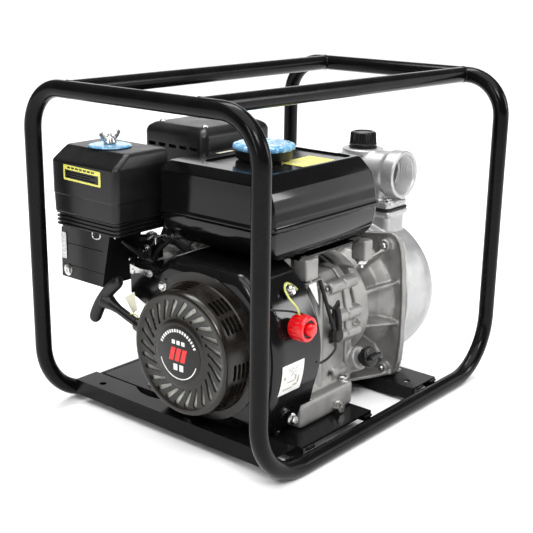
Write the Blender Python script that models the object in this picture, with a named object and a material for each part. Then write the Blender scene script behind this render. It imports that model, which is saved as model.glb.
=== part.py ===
"""Two-inch water pump driven by a small four-stroke petrol engine, in a bent-tube carrying frame.

Lengths are in millimetres until new_object, which scales them to metres.
X runs along the crankshaft: the recoil starter is at -X and the pump's suction port at +X.
-Y is the side with the stop switch and the discharge port, +Y the side with the cylinder head.
Z is up, with 0 at the underside of the frame.
"""
import math

import bmesh
import bpy
from mathutils import Matrix, Vector

MM = 0.001
GAP = 0.3

# Carrying frame
TUBE_R = 11.0
FRAME_X = 260.25
FRAME_Y = 188.95
TOP_Z = 437.9
TOP_BEND = 56.0
BOTTOM_BEND = 80.0
RAIL_FAR_Y = 120.0
RAIL_NEAR_Y = (-98.7, -125.5)

# Engine and pump axis
CRANK_Y = -43.0
CRANK_Z = 132.0
BASE_Z = 26.0
CYLINDER_TILT = math.radians(25)
CYLINDER_X = -60.0
BORE_R = 35.0
THROW = 27.5
DECK = 136.0
CAM_ANGLE = math.radians(-40)
CAM_DISTANCE = 60.0
CRANK_TEETH = 12

# Stations along X
RECOIL_FRONT = -238.0
HOUSING_FRONT = -197.0
HOUSING_BACK = -110.0
CASE_FRONT = -108.0
CASE_BACK = -15.0
DRIVE_FACE = 21.0
PUMP_JOINT = 108.0
JOINT_EDGE = ((39, 228.5), (51, 230), (78, 234), (86, 231), (92, 222), (96, 210), (100, 180), (102, 142),
              (102.5, 110), (102, 80), (99, 50), (95, 34), (90, 28), (84, 26.5), (66, 26.5), (61, 31),
              (57, 42), (40, 35.5), (20, 29.8))
SUCTION_FACE = 236.0

# Radii
HOUSING_R = 118.0
HOUSING_TOP = 235.0
RECOIL_R = 79.0
PUMP_R = 104.0
SUCTION_R = 27.0
PORT_R = 26.7

# Fuel tank
TANK_X = (-174.0, 50.0)
TANK_Y = (-131.0, 57.0)
TANK_CORNER = 13.0
SEAM_Z = 286.0
TANK_TOP = 349.0
CAP_XY = (-70.0, -32.0)

# Discharge elbow
ELBOW_X = 150.0
PORT_Y = -105.0
PORT_Z = 305.0
PRIMING_Y = -31.0
NECK_TOP = 254.0

# Air cleaner and silencer
CLEANER_X = (-240.0, -143.0)
CLEANER_Y = (61.0, 184.0)
CLEANER_TOP = 360.0
DUCT_FRONT = -218.0
SILENCER_X = (-68.0, 70.0)
SILENCER_Y = (72.0, 186.0)
SILENCER_Z = (300.0, 373.0)
PIPE_Y = 122.0

# Recoil rope: a straight run in front of the reel, out through the starter cover's side
ROPE_X = -228.0
ROPE_POINT = (36.0, 148.5)
ROPE_DIRECTION = Vector((0.0, 0.952, 0.306))

FINISHES = {
    "frame_black": ((0.012, 0.012, 0.013), 0.28, 0.0),
    "housing_black": ((0.010, 0.010, 0.011), 0.25, 0.0),
    "tank_black": ((0.011, 0.011, 0.012), 0.22, 0.0),
    "plastic_black": ((0.016, 0.016, 0.016), 0.45, 0.0),
    "starter_black": ((0.022, 0.019, 0.015), 0.40, 0.0),
    "rubber": ((0.010, 0.010, 0.010), 0.80, 0.0),
    "cast_aluminium": ((0.50, 0.50, 0.49), 0.42, 1.0),
    "pump_aluminium": ((0.62, 0.62, 0.63), 0.36, 1.0),
    "steel": ((0.60, 0.60, 0.61), 0.25, 1.0),
    "dark_steel": ((0.12, 0.12, 0.12), 0.45, 1.0),
    "cast_iron": ((0.09, 0.09, 0.09), 0.60, 1.0),
    "switch_red": ((0.72, 0.012, 0.012), 0.35, 0.0),
    "film_blue": ((0.20, 0.50, 0.75), 0.30, 0.0),
    "brass": ((0.60, 0.45, 0.16), 0.35, 1.0),
    "foam": ((0.08, 0.08, 0.09), 0.95, 0.0),
    "white_ceramic": ((0.80, 0.80, 0.78), 0.30, 0.0),
}


def clear_scene():
    for item in list(bpy.data.objects):
        bpy.data.objects.remove(item, do_unlink=True)


def finish(name):
    """The named finish as a Principled material, made on first use."""
    material = bpy.data.materials.get(name)
    if material is None:
        colour, roughness, metallic = FINISHES[name]
        material = bpy.data.materials.new(name)
        material.use_nodes = True
        shader = material.node_tree.nodes["Principled BSDF"]
        shader.inputs["Base Color"].default_value = (*colour, 1.0)
        shader.inputs["Roughness"].default_value = roughness
        shader.inputs["Metallic"].default_value = metallic
        material.diffuse_color = (*colour, 1.0)
    return material


def new_object(name, shape, finish_name, origin=(0.0, 0.0, 0.0)):
    """Link a shape given in whole-machine millimetres as an object whose origin is at origin."""
    bmesh.ops.remove_doubles(shape, verts=shape.verts, dist=0.002)
    bmesh.ops.translate(shape, verts=shape.verts, vec=-Vector(origin))
    bmesh.ops.scale(shape, verts=shape.verts, vec=(MM, MM, MM))
    bmesh.ops.recalc_face_normals(shape, faces=shape.faces)
    mesh = bpy.data.meshes.new(name)
    shape.to_mesh(mesh)
    shape.free()
    mesh.shade_smooth()
    mesh.set_sharp_from_angle(angle=math.radians(35))
    mesh.materials.append(finish(finish_name))
    item = bpy.data.objects.new(name, mesh)
    item.location = Vector(origin) * MM
    bpy.context.scene.collection.objects.link(item)
    return item


# Shape helpers. Each returns a bmesh in whole-machine millimetres.

def loft(loops, closed=False):
    """Skin rings of points; the end rings are capped unless the stack closes on itself."""
    shape = bmesh.new()
    rings = [[shape.verts.new(point) for point in loop] for loop in loops]
    pairs = list(zip(rings, rings[1:]))
    if closed:
        pairs.append((rings[-1], rings[0]))
    for low, high in pairs:
        count = len(low)
        for i in range(count):
            j = (i + 1) % count
            shape.faces.new((low[i], low[j], high[j], high[i]))
    if not closed:
        shape.faces.new(rings[0])
        shape.faces.new(rings[-1])
    bmesh.ops.recalc_face_normals(shape, faces=shape.faces)
    return shape


def on_axis(axis, along, across, up):
    """A point from its place along an axis and in the plane across it."""
    return {"X": (along, across, up), "Y": (across, along, up), "Z": (across, up, along)}[axis]


def prism(outline, axis, low, high):
    """An outline in the plane across an axis, extruded from low to high."""
    return loft([[on_axis(axis, place, u, v) for u, v in outline] for place in (low, high)])


def box(x, y, z):
    outline = [(y[0], z[0]), (y[1], z[0]), (y[1], z[1]), (y[0], z[1])]
    return prism(outline, "X", x[0], x[1])


def soft_box(x, y, z, radius, segments=2, axis=None):
    """A box with rounded edges, or with only the edges along one axis rounded."""
    shape = box(x, y, z)
    index = {"X": 0, "Y": 1, "Z": 2}.get(axis)
    edges = []
    for edge in shape.edges:
        way = edge.verts[1].co - edge.verts[0].co
        if index is None or abs(way[index]) > 0.9 * way.length:
            edges.append(edge)
    bmesh.ops.bevel(shape, geom=edges, offset=radius, segments=segments, profile=0.5, affect="EDGES")
    return shape


def turned(profile, axis, centre, steps=32, phase=0.0):
    """Spin (along, radius) points about an axis; a profile with no radius of 0 closes on itself."""
    shape = bmesh.new()
    rings = []
    for along, radius in profile:
        if radius == 0:
            rings.append([shape.verts.new(on_axis(axis, along, centre[0], centre[1]))])
            continue
        ring = []
        for i in range(steps):
            turn = phase + 2 * math.pi * i / steps
            across = centre[0] + radius * math.cos(turn)
            up = centre[1] + radius * math.sin(turn)
            ring.append(shape.verts.new(on_axis(axis, along, across, up)))
        rings.append(ring)
    pairs = list(zip(rings, rings[1:]))
    if len(rings[0]) > 1 and len(rings[-1]) > 1:
        pairs.append((rings[-1], rings[0]))
    for low, high in pairs:
        for i in range(steps):
            j = (i + 1) % steps
            if len(low) == 1:
                shape.faces.new((low[0], high[j], high[i]))
            elif len(high) == 1:
                shape.faces.new((low[i], low[j], high[0]))
            else:
                shape.faces.new((low[i], low[j], high[j], high[i]))
    bmesh.ops.recalc_face_normals(shape, faces=shape.faces)
    return shape


def rod(axis, centre, low, high, radius, steps=16, phase=0.0):
    """A plain round bar along an axis."""
    return turned([(low, 0), (low, radius), (high, radius), (high, 0)], axis, centre, steps, phase)


def crank_turned(profile, steps=32, phase=0.0):
    """A turned piece on the crankshaft and pump axis."""
    return turned(profile, "X", (CRANK_Y, CRANK_Z), steps, phase)


def crank_rod(low, high, radius, steps=24):
    return crank_turned([(low, 0), (low, radius), (high, radius), (high, 0)], steps)


def placed(shape, matrix):
    bmesh.ops.transform(shape, matrix=matrix, verts=shape.verts)
    return shape


def aimed(shape, start, direction):
    """Move a shape made along +Z from the world's origin to start at a point and aim along a vector."""
    turn = Vector(direction).to_track_quat("Z", "Y").to_matrix().to_4x4()
    return placed(shape, Matrix.Translation(Vector(start)) @ turn)


def aimed_turned(profile, start, direction, steps=16):
    return aimed(turned(profile, "Z", (0, 0), steps), start, direction)


def sweep(path, radius, sides=12):
    """A round bar along a path of points, drawn so that its flats touch the true radius."""
    points = [Vector(point) for point in path]
    tangents = []
    for i, point in enumerate(points):
        before = points[max(i - 1, 0)]
        after = points[min(i + 1, len(points) - 1)]
        tangents.append((after - before).normalized())
    normal = Vector((0, 0, 1))
    if abs(tangents[0].z) > 0.9:
        normal = Vector((1, 0, 0))
    reach = radius / math.cos(math.pi / sides)
    loops = []
    for i, point in enumerate(points):
        if i:
            normal = tangents[i - 1].rotation_difference(tangents[i]) @ normal
        normal = (normal - tangents[i] * normal.dot(tangents[i])).normalized()
        side = tangents[i].cross(normal)
        loop = []
        for k in range(sides):
            turn = 2 * math.pi * (k + 0.5) / sides
            loop.append(point + (normal * math.cos(turn) + side * math.sin(turn)) * reach)
        loops.append(loop)
    return loft(loops)


def bent_path(corners, bends, segments=4):
    """Corner points joined by straights and by arcs of the given bend radii."""
    path = [Vector(corners[0])]
    for i, bend in enumerate(bends, start=1):
        corner = Vector(corners[i])
        back = (Vector(corners[i - 1]) - corner).normalized()
        ahead = (Vector(corners[i + 1]) - corner).normalized()
        half = back.angle(ahead) / 2
        centre = corner + (back + ahead).normalized() * bend / math.sin(half)
        start = corner + back * bend / math.tan(half)
        spoke = start - centre
        axis = back.cross(ahead).normalized()
        span = math.pi - 2 * half
        for k in range(segments + 1):
            turned_spoke = Matrix.Rotation(-span * k / segments, 3, axis) @ spoke
            path.append(centre + turned_spoke)
    path.append(Vector(corners[-1]))
    return path


def arc(centre, radius, start, end, count):
    """Points on an arc in a plane, by angles in degrees."""
    points = []
    for i in range(count + 1):
        turn = math.radians(start + (end - start) * i / count)
        points.append((centre[0] + radius * math.cos(turn), centre[1] + radius * math.sin(turn)))
    return points


def rounded_outline(u, v, radius, count=3):
    """A rectangle's outline with round corners."""
    points = []
    centres = ((u[1] - radius, v[1] - radius, 0), (u[0] + radius, v[1] - radius, 90),
               (u[0] + radius, v[0] + radius, 180), (u[1] - radius, v[0] + radius, 270))
    for across, up, start in centres:
        points += arc((across, up), radius, start, start + 90, count)
    return points


def stacked(x, y, levels, radius, count=3):
    """Rounded rectangles stacked along Z, from (height, inset) levels.

    A level may end with a second inset that is used at the low end of X only.
    """
    loops = []
    for height, inset, *front in levels:
        low_x = x[0] + (front[0] if front else inset)
        outline = rounded_outline((low_x, x[1] - inset), (y[0] + inset, y[1] - inset),
                                  max(radius - inset, 8.0), count)
        loops.append([(u, v, height) for u, v in outline])
    return loft(loops)


def joined(shapes):
    """Several shapes in one bmesh, still as separate bodies, for use as a Boolean's tools."""
    whole = bmesh.new()
    for shape in shapes:
        mesh = bpy.data.meshes.new("part")
        shape.to_mesh(mesh)
        shape.free()
        whole.from_mesh(mesh)
        bpy.data.meshes.remove(mesh)
    return whole


def temporary(shape):
    mesh = bpy.data.meshes.new("work")
    shape.to_mesh(mesh)
    shape.free()
    item = bpy.data.objects.new("work", mesh)
    bpy.context.scene.collection.objects.link(item)
    return item


def combined(base, operation, tools):
    """The base after a Boolean with each tool in turn."""
    body = temporary(base)
    others = [temporary(tool) for tool in tools]
    for other in others:
        step = body.modifiers.new("step", "BOOLEAN")
        step.operation = operation
        step.solver = "EXACT"
        step.object = other
    evaluated = body.evaluated_get(bpy.context.evaluated_depsgraph_get())
    result = bmesh.new()
    result.from_mesh(evaluated.to_mesh())
    for item in [body, *others]:
        mesh = item.data
        bpy.data.objects.remove(item, do_unlink=True)
        bpy.data.meshes.remove(mesh)
    bmesh.ops.dissolve_limit(result, angle_limit=math.radians(0.1), verts=result.verts, edges=result.edges)
    return result


def united(base, *tools):
    return combined(base, "UNION", tools)


def cut(base, *tools):
    return combined(base, "DIFFERENCE", tools)


def along_cylinder(distance, offset):
    """A point in the (Y, Z) plane by its distance up the cylinder and its offset across it."""
    along = Vector((math.cos(CYLINDER_TILT), math.sin(CYLINDER_TILT)))
    across = Vector((-along.y, along.x))
    point = Vector((CRANK_Y, CRANK_Z)) + along * distance + across * offset
    return point.x, point.y


def tilted_prism(outline, low, high):
    """An outline in the cylinder's own (distance, offset) plane, extruded along X."""
    return prism([along_cylinder(distance, offset) for distance, offset in outline], "X", low, high)


def cylinder_rod(x, offset, low, high, radius, steps=24):
    """A round bar along the cylinder's axis."""
    start = along_cylinder(low, offset)
    way = (0, math.cos(CYLINDER_TILT), math.sin(CYLINDER_TILT))
    profile = [(0, 0), (0, radius), (high - low, radius), (high - low, 0)]
    return aimed_turned(profile, (x, *start), way, steps)


# Carrying frame

def end_hoop(name, side):
    """An end hoop whose legs bend inwards into the two bottom rails."""
    x = side * FRAME_X
    inner = side * GAP / 2
    corners = [(inner, -FRAME_Y, TUBE_R), (x, -FRAME_Y, TUBE_R), (x, -FRAME_Y, TOP_Z),
               (x, FRAME_Y, TOP_Z), (x, FRAME_Y, TUBE_R), (inner, FRAME_Y, TUBE_R)]
    bends = (BOTTOM_BEND, TOP_BEND, TOP_BEND, BOTTOM_BEND)
    new_object(name, sweep(bent_path(corners, bends), TUBE_R), "frame_black")


def top_rail(name, start_y, end_y):
    """A straight rail between the two hoops' crossbars."""
    reach = FRAME_X - TUBE_R - 1.0
    ends = [(-reach, start_y, TOP_Z), (reach, end_y, TOP_Z)]
    new_object(name, sweep(ends, TUBE_R), "frame_black")


def recoil_end_channel():
    """The folded cross member under the starter, scalloped along its inner edge."""
    top, bottom, sheet, front, back = 33.0, 12.0, 2.5, -217.0, -180.0
    half = FRAME_Y - TUBE_R - GAP
    profile = [(front, bottom), (front + sheet, bottom), (front + sheet, top - sheet),
               (back, top - sheet), (back, top), (front, top)]
    shape = prism(profile, "Y", -half, half)
    tools = []
    for middle in (62.0, -62.0):
        outline = [(back + 34 + 46 * math.cos(a), middle + 52 * math.sin(a))
                   for a in (2 * math.pi * i / 20 for i in range(20))]
        tools.append(prism(outline, "Z", top - 8, top + 8))
    for end in (-1, 1):
        tools.append(rod("Z", (-203.0, end * 138.0), top - 8, top + 8, 5.0, 12))
    new_object("recoil_end_channel", cut(shape, joined(tools)), "frame_black")


def engine_plate():
    """The folded plate that the engine's feet are bolted to."""
    top, bottom, sheet, front, back = BASE_Z - GAP, 8.0, 2.5, -165.0, -18.0
    half = FRAME_Y - TUBE_R - GAP
    profile = [(front, bottom), (front + sheet, bottom), (front + sheet, top - sheet),
               (back - sheet, top - sheet), (back - sheet, bottom), (back, bottom), (back, top), (front, top)]
    shape = prism(profile, "Y", -half, half)
    holes = [rod("Z", (x, y), top - 8, top + 4, 4.5, 12) for x in (-112, -27) for y in (-138, 40)]
    holes.append(soft_box((-130, -50), (60, 130), (top - 8, top + 4), 14, 3, "Z"))
    new_object("engine_plate", cut(shape, joined(holes)), "frame_black")


def pump_end_channel():
    """The folded cross member that the pump bracket stands on."""
    top, bottom, sheet, front, back = 24.0, 5.0, 2.5, 84.0, 142.0
    half = FRAME_Y - TUBE_R - GAP
    profile = [(front, bottom), (front + sheet, bottom), (front + sheet, top - sheet),
               (back - sheet, top - sheet), (back - sheet, bottom), (back, bottom), (back, top), (front, top)]
    shape = prism(profile, "Y", -half, half)
    holes = [rod("Z", (102, end * 156), top - 8, top + 4, 5.0, 12) for end in (-1, 1)]
    new_object("pump_end_channel", cut(shape, joined(holes)), "frame_black")


# Engine block

CASE_TOP = 204.0
CASE_OUTLINE = [(-128, 41), (56, 41), (56, 150), (10, CASE_TOP), (-104, CASE_TOP), (-120, 188), (-128, 150)]
CASE_BOLTS = ((-127, 119), (-127, 146), (-119, 186), (-126, 72))


def inset_outline(outline, amount):
    """A convex outline drawn in towards its middle by an amount."""
    middle = sum((Vector(point) for point in outline), Vector((0, 0))) / len(outline)
    result = []
    for point in outline:
        way = Vector(point) - middle
        result.append(tuple(middle + way * (1 - amount * 1.25 / way.length)))
    return result


def crankcase():
    """The crankcase casting with its feet, the finned cylinder barrel and the two shaft bores."""
    body = prism(CASE_OUTLINE, "X", CASE_FRONT, CASE_BACK)
    feet = [soft_box((-128, -16), y, (BASE_Z, 59), 5, 2, "Z") for y in ((-146, -100), (18, 60))]
    comb = [(50, -40), (50, 40)]
    for i in range(7):
        low = 76 + i * 8.6
        comb += [(low, 40), (low, 47), (low + 3.4, 47), (low + 3.4, 40)]
    comb += [(DECK, 40), (DECK, -40)]
    for i in reversed(range(7)):
        low = 76 + i * 8.6
        comb += [(low + 3.4, -40), (low + 3.4, -47), (low, -47), (low, -40)]
    barrel = tilted_prism(comb, CASE_FRONT + 1, CASE_BACK - 1)
    bosses = [rod("X", place, -40, CASE_BACK, 8.5, 12) for place in CASE_BOLTS]
    shape = united(body, joined(feet), barrel, joined(bosses))
    cam = cam_centre()
    holes = [crank_rod(CASE_FRONT + 14, CASE_BACK + 2, 50, 28),
             rod("X", cam, CASE_FRONT + 14, CASE_BACK + 2, 45, 24),
             crank_rod(CASE_FRONT - 2, CASE_FRONT + 15, 26 + GAP, 24),
             rod("X", cam, CASE_FRONT + 8, CASE_FRONT + 15, 7.4, 12),
             cylinder_rod(CYLINDER_X, 0, 20, DECK + 4, BORE_R, 28)]
    bolts = [rod("Z", (x, -138), BASE_Z - 4, 64, 4.5, 12) for x in (-112, -27)]
    new_object("crankcase", cut(shape, *holes, joined(bolts)), "cast_aluminium")


def cam_centre():
    return (CRANK_Y + CAM_DISTANCE * math.cos(CAM_ANGLE), CRANK_Z + CAM_DISTANCE * math.sin(CAM_ANGLE))


def side_cover():
    """The drive-side cover with the rear bearing seat and the oil filler boss."""
    low = CASE_BACK + GAP
    plate = prism(inset_outline(CASE_OUTLINE, -2), "X", low, 0)
    hub = crank_turned([(-2, 0), (-2, 84), (14, 78), (DRIVE_FACE, 72), (DRIVE_FACE, 0)], 28)
    filler = aimed_turned([(0, 0), (0, 15), (30, 15), (30, 0)], (4, -122, 76), (0, -0.94, 0.34))
    bosses = [rod("X", place, low + 1, 16, 8.5, 12) for place in CASE_BOLTS]
    shape = united(plate, hub, filler, joined(bosses))
    holes = [prism(inset_outline(CASE_OUTLINE, 10), "X", low - 2, -6),
             crank_rod(-7, 8, 26 + GAP, 24),
             crank_rod(6, DRIVE_FACE + 2, 16, 20),
             rod("X", cam_centre(), -7, -1.5, 7.4, 12),
             aimed_turned([(0, 0), (0, 10), (50, 10), (50, 0)], (4, -106, 70.2), (0, -0.94, 0.34), 12)]
    new_object("side_cover", cut(shape, *holes), "cast_aluminium")


def cylinder_head():
    """The finned cylinder head with its combustion recess, intake and exhaust ports."""
    low, high = DECK + GAP, 170.0
    comb = [(low, -44)]
    for i in range(3):
        step = low + 4 + i * 9
        comb += [(step, -44), (step, -38), (step + 4, -38), (step + 4, -44)]
    comb += [(high, -44), (high, 44)]
    for i in reversed(range(3)):
        step = low + 4 + i * 9
        comb += [(step + 4, 44), (step + 4, 38), (step, 38), (step, 44)]
    comb.append((low, 44))
    shape = tilted_prism(comb, CASE_FRONT, CASE_BACK)
    port = along_cylinder(152, 0)
    holes = [cylinder_rod(CYLINDER_X, 0, low - 4, low + 6, 30, 24),
             rod("X", port, CASE_FRONT - 2, CASE_FRONT + 24, 10, 16),
             rod("X", port, CASE_BACK - 24, CASE_BACK + 2, 11, 16),
             cylinder_rod(CYLINDER_X, -30, 150, high + 2, 7.4, 12)]
    new_object("cylinder_head", cut(shape, *holes), "cast_aluminium")


def rocker_cover():
    """The pressed cover over the valve gear, open towards the head."""
    low, high, sheet = 170 + GAP, 194.0, 2.0
    outline = [(low, -16), (low, 42), (high - 7, 42), (high, 35), (high, -9), (high - 7, -16)]
    shape = tilted_prism(outline, -100, -24)
    inner = [(low - 2, -13), (low - 2, 39), (high - 8, 39), (high - sheet, 33), (high - sheet, -7),
             (high - 8, -13)]
    new_object("rocker_cover", cut(shape, tilted_prism(inner, -97, -27)), "housing_black")


def spark_plug():
    """The plug's threaded end, hexagon and insulator."""
    start = (CYLINDER_X, *along_cylinder(152, -30))
    way = (0, math.cos(CYLINDER_TILT), math.sin(CYLINDER_TILT))
    profile = [(0, 0), (0, 7), (18.5, 7), (18.5, 11), (27, 11), (27, 6), (44, 4.5), (44, 0)]
    new_object("spark_plug", aimed_turned(profile, start, way, 12), "white_ceramic")


def spark_plug_cap():
    """The rubber boot on the plug's terminal, with its lead boss."""
    start = (CYLINDER_X, *along_cylinder(180, -30))
    way = (0, math.cos(CYLINDER_TILT), math.sin(CYLINDER_TILT))
    profile = [(17, 0), (17, 6.5), (0, 6.5), (0, 11), (26, 10), (32, 6), (32, 0)]
    new_object("spark_plug_cap", aimed_turned(profile, start, way, 14), "rubber")


# Running gear

def web_outline():
    """A crank web: a lobe round the crankpin and a counterweight opposite it, towards the cylinder."""
    points = arc((THROW, 0), 15.5, -85, 85, 8) + arc((0, 0), 42.0, 112, 248, 10)
    return [along_cylinder(u, v) for u, v in points]


def gear_outline(centre, teeth, module, start):
    """Straight-flanked teeth round a centre; the first tooth points at the start angle."""
    points = []
    pitch = 2 * math.pi / teeth
    tip, root = module * (teeth / 2 + 0.7), module * (teeth / 2 - 0.95)
    for i in range(teeth):
        middle = start + i * pitch
        for radius, place in ((root, -0.27), (tip, -0.12), (tip, 0.12), (root, 0.27)):
            turn = middle + place * pitch
            points.append((centre[0] + radius * math.cos(turn), centre[1] + radius * math.sin(turn)))
    return points


def gear_module():
    return 2 * CAM_DISTANCE / (3 * CRANK_TEETH)


def crankshaft():
    """The shaft from the flywheel nut to the impeller, with its webs, pin and timing gear."""
    main = 12.5
    stub = crank_turned([(-186, 0), (-186, 8), (-176, 8), (-176, main), (-74, main), (-74, 0)], 16)
    tail = crank_turned([(-46, 0), (-46, main), (12, main), (12, 10), (140, 10), (140, 0)], 16)
    webs = [prism(web_outline(), "X", low, low + 10) for low in (-76, -54)]
    pin = rod("X", along_cylinder(THROW, 0), -70, -50, 13, 16)
    gear = prism(gear_outline((CRANK_Y, CRANK_Z), CRANK_TEETH, gear_module(), CAM_ANGLE), "X", -34, -26)
    shape = united(stub, tail, webs[0], webs[1], pin, gear)
    new_object("crankshaft", shape, "steel", (0, CRANK_Y, CRANK_Z))


def camshaft():
    """The camshaft with its two lobes and half-speed gear, meshed with the crank gear."""
    centre = cam_centre()
    shaft = rod("X", centre, CASE_FRONT + 8.5, -1.8, 7, 10)
    teeth = 2 * CRANK_TEETH
    start = CAM_ANGLE + math.pi + math.pi / teeth
    gear = prism(gear_outline(centre, teeth, gear_module(), start), "X", -34, -26)
    lobes = [rod("X", (centre[0] + 3, centre[1] + side), low, low + 9, 9, 10)
             for low, side in ((-84, 2), (-56, -3))]
    shape = united(shaft, gear, joined(lobes))
    new_object("camshaft", shape, "dark_steel", (0, *centre))


def piston():
    """The piston at the top of its stroke, hollow from below."""
    crown, skirt = DECK - 2.0, DECK - 50.0
    start = (CYLINDER_X, *along_cylinder(skirt, 0))
    way = (0, math.cos(CYLINDER_TILT), math.sin(CYLINDER_TILT))
    length = crown - skirt
    radius = BORE_R - 0.4
    profile = [(length - 7, 0), (length - 7, 29), (0, 29), (0, radius), (length, radius), (length, 0)]
    new_object("piston", aimed_turned(profile, start, way, 28), "cast_aluminium")


def main_bearing(name, low):
    profile = [(low, 12.5 + GAP), (low, 26), (low + 13, 26), (low + 13, 12.5 + GAP)]
    new_object(name, crank_turned(profile, 18), "steel", (0, CRANK_Y, CRANK_Z))


def flywheel():
    """The cast flywheel with its magnet rim."""
    hub, rim = 12.5 + GAP, 88.0
    profile = [(-172, hub), (-172, 30), (-168, 34), (-168, rim), (-148, rim), (-148, 76), (-158, 74),
               (-158, 30), (-146, 26), (-146, hub)]
    new_object("flywheel", crank_turned(profile, 24), "cast_iron", (0, CRANK_Y, CRANK_Z))


def cooling_fan():
    """The fan ring and blades on the flywheel's front face."""
    ring = crank_turned([(-172.3, 36), (-172.3, 86), (-168.3, 86), (-168.3, 36)], 24)
    blades = []
    for i in range(10):
        turn = 2 * math.pi * i / 10
        blade = box((-191, -170), (48, 85), (-1.6, 1.6))
        spin = Matrix.Rotation(turn, 4, "X")
        blades.append(placed(blade, Matrix.Translation((0, CRANK_Y, CRANK_Z)) @ spin))
    new_object("cooling_fan", united(ring, joined(blades)), "plastic_black", (0, CRANK_Y, CRANK_Z))


def starter_cup():
    """The cup that the starter's pawls catch, on the flywheel's nose."""
    profile = [(-206, 26), (-206, 28), (-176, 32), (-172.3, 32), (-172.3, 13), (-176.3, 13), (-176.3, 28.5)]
    new_object("starter_cup", crank_turned(profile, 18), "dark_steel", (0, CRANK_Y, CRANK_Z))


# Blower housing and recoil starter

THROTTLE_AT = (75.0, 206.0)


DUCT_Y = 85.0


def housing_outline(inset, lean):
    """The blower housing's outline: a scroll round the flywheel and a duct to the cylinder.

    The scroll is drawn in by inset and the duct by lean.
    """
    radius = HOUSING_R - inset
    bottom = 36.0 + inset
    foot = math.degrees(math.asin((CRANK_Z - bottom) / radius))
    points = [(-138 + inset, bottom), (-150 + inset, 82)]
    points += [(y, min(z, HOUSING_TOP - inset)) for y, z in arc((CRANK_Y, CRANK_Z), radius, 200, 44, 18)]
    points += [(DUCT_Y - lean, 216 - lean), (DUCT_Y - lean, 172 + lean), (66 - inset, 162)]
    points += arc((CRANK_Y, CRANK_Z), radius, -4, -foot, 5)
    return points


def blower_housing():
    """The fan shroud: an open-backed shell with the air intake in its front."""
    outer = [(0, 13, 1), (4, 6, 0), (11, 1.5, 1), (20, 0, 5.5), (HOUSING_BACK - HOUSING_FRONT, 0, 5.5)]
    inner = [(HOUSING_BACK - HOUSING_FRONT, 2.5, 8), (20, 2.5, 8), (12, 4, 4), (6, 8, 3), (2.5, 15, 4)]
    loops = [[(HOUSING_FRONT + x, y, z) for y, z in housing_outline(inset, lean)]
             for x, inset, lean in outer + inner]
    intake = crank_rod(HOUSING_FRONT - 5, HOUSING_FRONT + 8, 72, 28)
    foot_notch = joined([box((-129, HOUSING_BACK + 5), y, (20, 60)) for y in ((-156, -98), (16, 70))])
    pivot = rod("X", THROTTLE_AT, -199.5 + GAP, -186, 6, 12)
    shape = cut(united(loft(loops), pivot), intake, foot_notch)
    new_object("blower_housing", shape, "housing_black")


def radial_slots(count, inner, outer, slant):
    """Slanted slots round the starter's face, wider towards the rim."""
    tools = []
    for i in range(count):
        middle = 360 * i / count
        outline = []
        for radius, half, lean in ((inner, 2.8, -slant), (outer, 5.2, 0)):
            for side in ((-1, 1) if radius == inner else (1, -1)):
                turn = math.radians(middle + lean) + side * half / radius
                outline.append((CRANK_Y + radius * math.cos(turn), CRANK_Z + radius * math.sin(turn)))
        tools.append(prism(outline, "X", RECOIL_FRONT - 4, RECOIL_FRONT + 6))
    return tools


def side_slots(groups):
    """Groups of slots that run round the starter's side, in two columns of two rows."""
    tools = []
    for group in groups:
        for column in (-9, 9):
            for row in range(2):
                low = RECOIL_FRONT + 13 + row * 12
                turn = Matrix.Rotation(math.radians(group + column), 4, "X")
                slot = box((low, low + 6), (RECOIL_R - 12, RECOIL_R + 12), (-9.5, 9.5))
                tools.append(placed(slot, Matrix.Translation((0, CRANK_Y, CRANK_Z)) @ turn))
    return tools


def rope_at(distance):
    """A point on the rope's line, measured outwards from where it leaves the cover."""
    return Vector((ROPE_X, *ROPE_POINT)) + ROPE_DIRECTION * distance


def recoil_cover():
    """The starter cover: slotted face, ribbed side and a flange with three ears."""
    profile = [(RECOIL_FRONT + 2.5, 0), (RECOIL_FRONT + 2.5, 70), (RECOIL_FRONT + 8, RECOIL_R - 2.8),
               (HOUSING_FRONT - 4, RECOIL_R + 1), (HOUSING_FRONT - GAP, RECOIL_R + 1),
               (HOUSING_FRONT - GAP, 94), (HOUSING_FRONT - 3, 94), (HOUSING_FRONT - 4.5, RECOIL_R + 4),
               (RECOIL_FRONT + 6, RECOIL_R), (RECOIL_FRONT + 1.5, RECOIL_R - 3), (RECOIL_FRONT, RECOIL_R - 8),
               (RECOIL_FRONT, 0)]
    shape = crank_turned(profile, 32)
    post = crank_rod(RECOIL_FRONT + 1, -208, 5, 12)
    ears = []
    for turn in (165, 45, 285):
        ear = prism(rounded_outline((84, 98), (-9, 9), 6, 2), "X", HOUSING_FRONT - 3, HOUSING_FRONT - GAP)
        spin = Matrix.Rotation(math.radians(turn), 4, "X")
        ears.append(placed(ear, Matrix.Translation((0, CRANK_Y, CRANK_Z)) @ spin))
    shape = united(shape, post, joined(ears))
    guide = aimed_turned([(0, 0), (0, 4.5), (50, 4.5), (50, 0)], rope_at(-30), ROPE_DIRECTION, 12)
    slots = radial_slots(18, 46, 70, 16) + side_slots((135, 195))
    new_object("recoil_cover", cut(shape, joined(slots), guide), "starter_black")


def starter_reel():
    """The grooved reel that the rope winds on."""
    profile = [(-223, 5 + GAP), (-223, 50), (-220.5, 50), (-219, 44), (-214, 44), (-212.5, 50), (-210, 50),
               (-210, 5 + GAP)]
    new_object("starter_reel", crank_turned(profile, 20), "plastic_black", (0, CRANK_Y, CRANK_Z))


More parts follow.
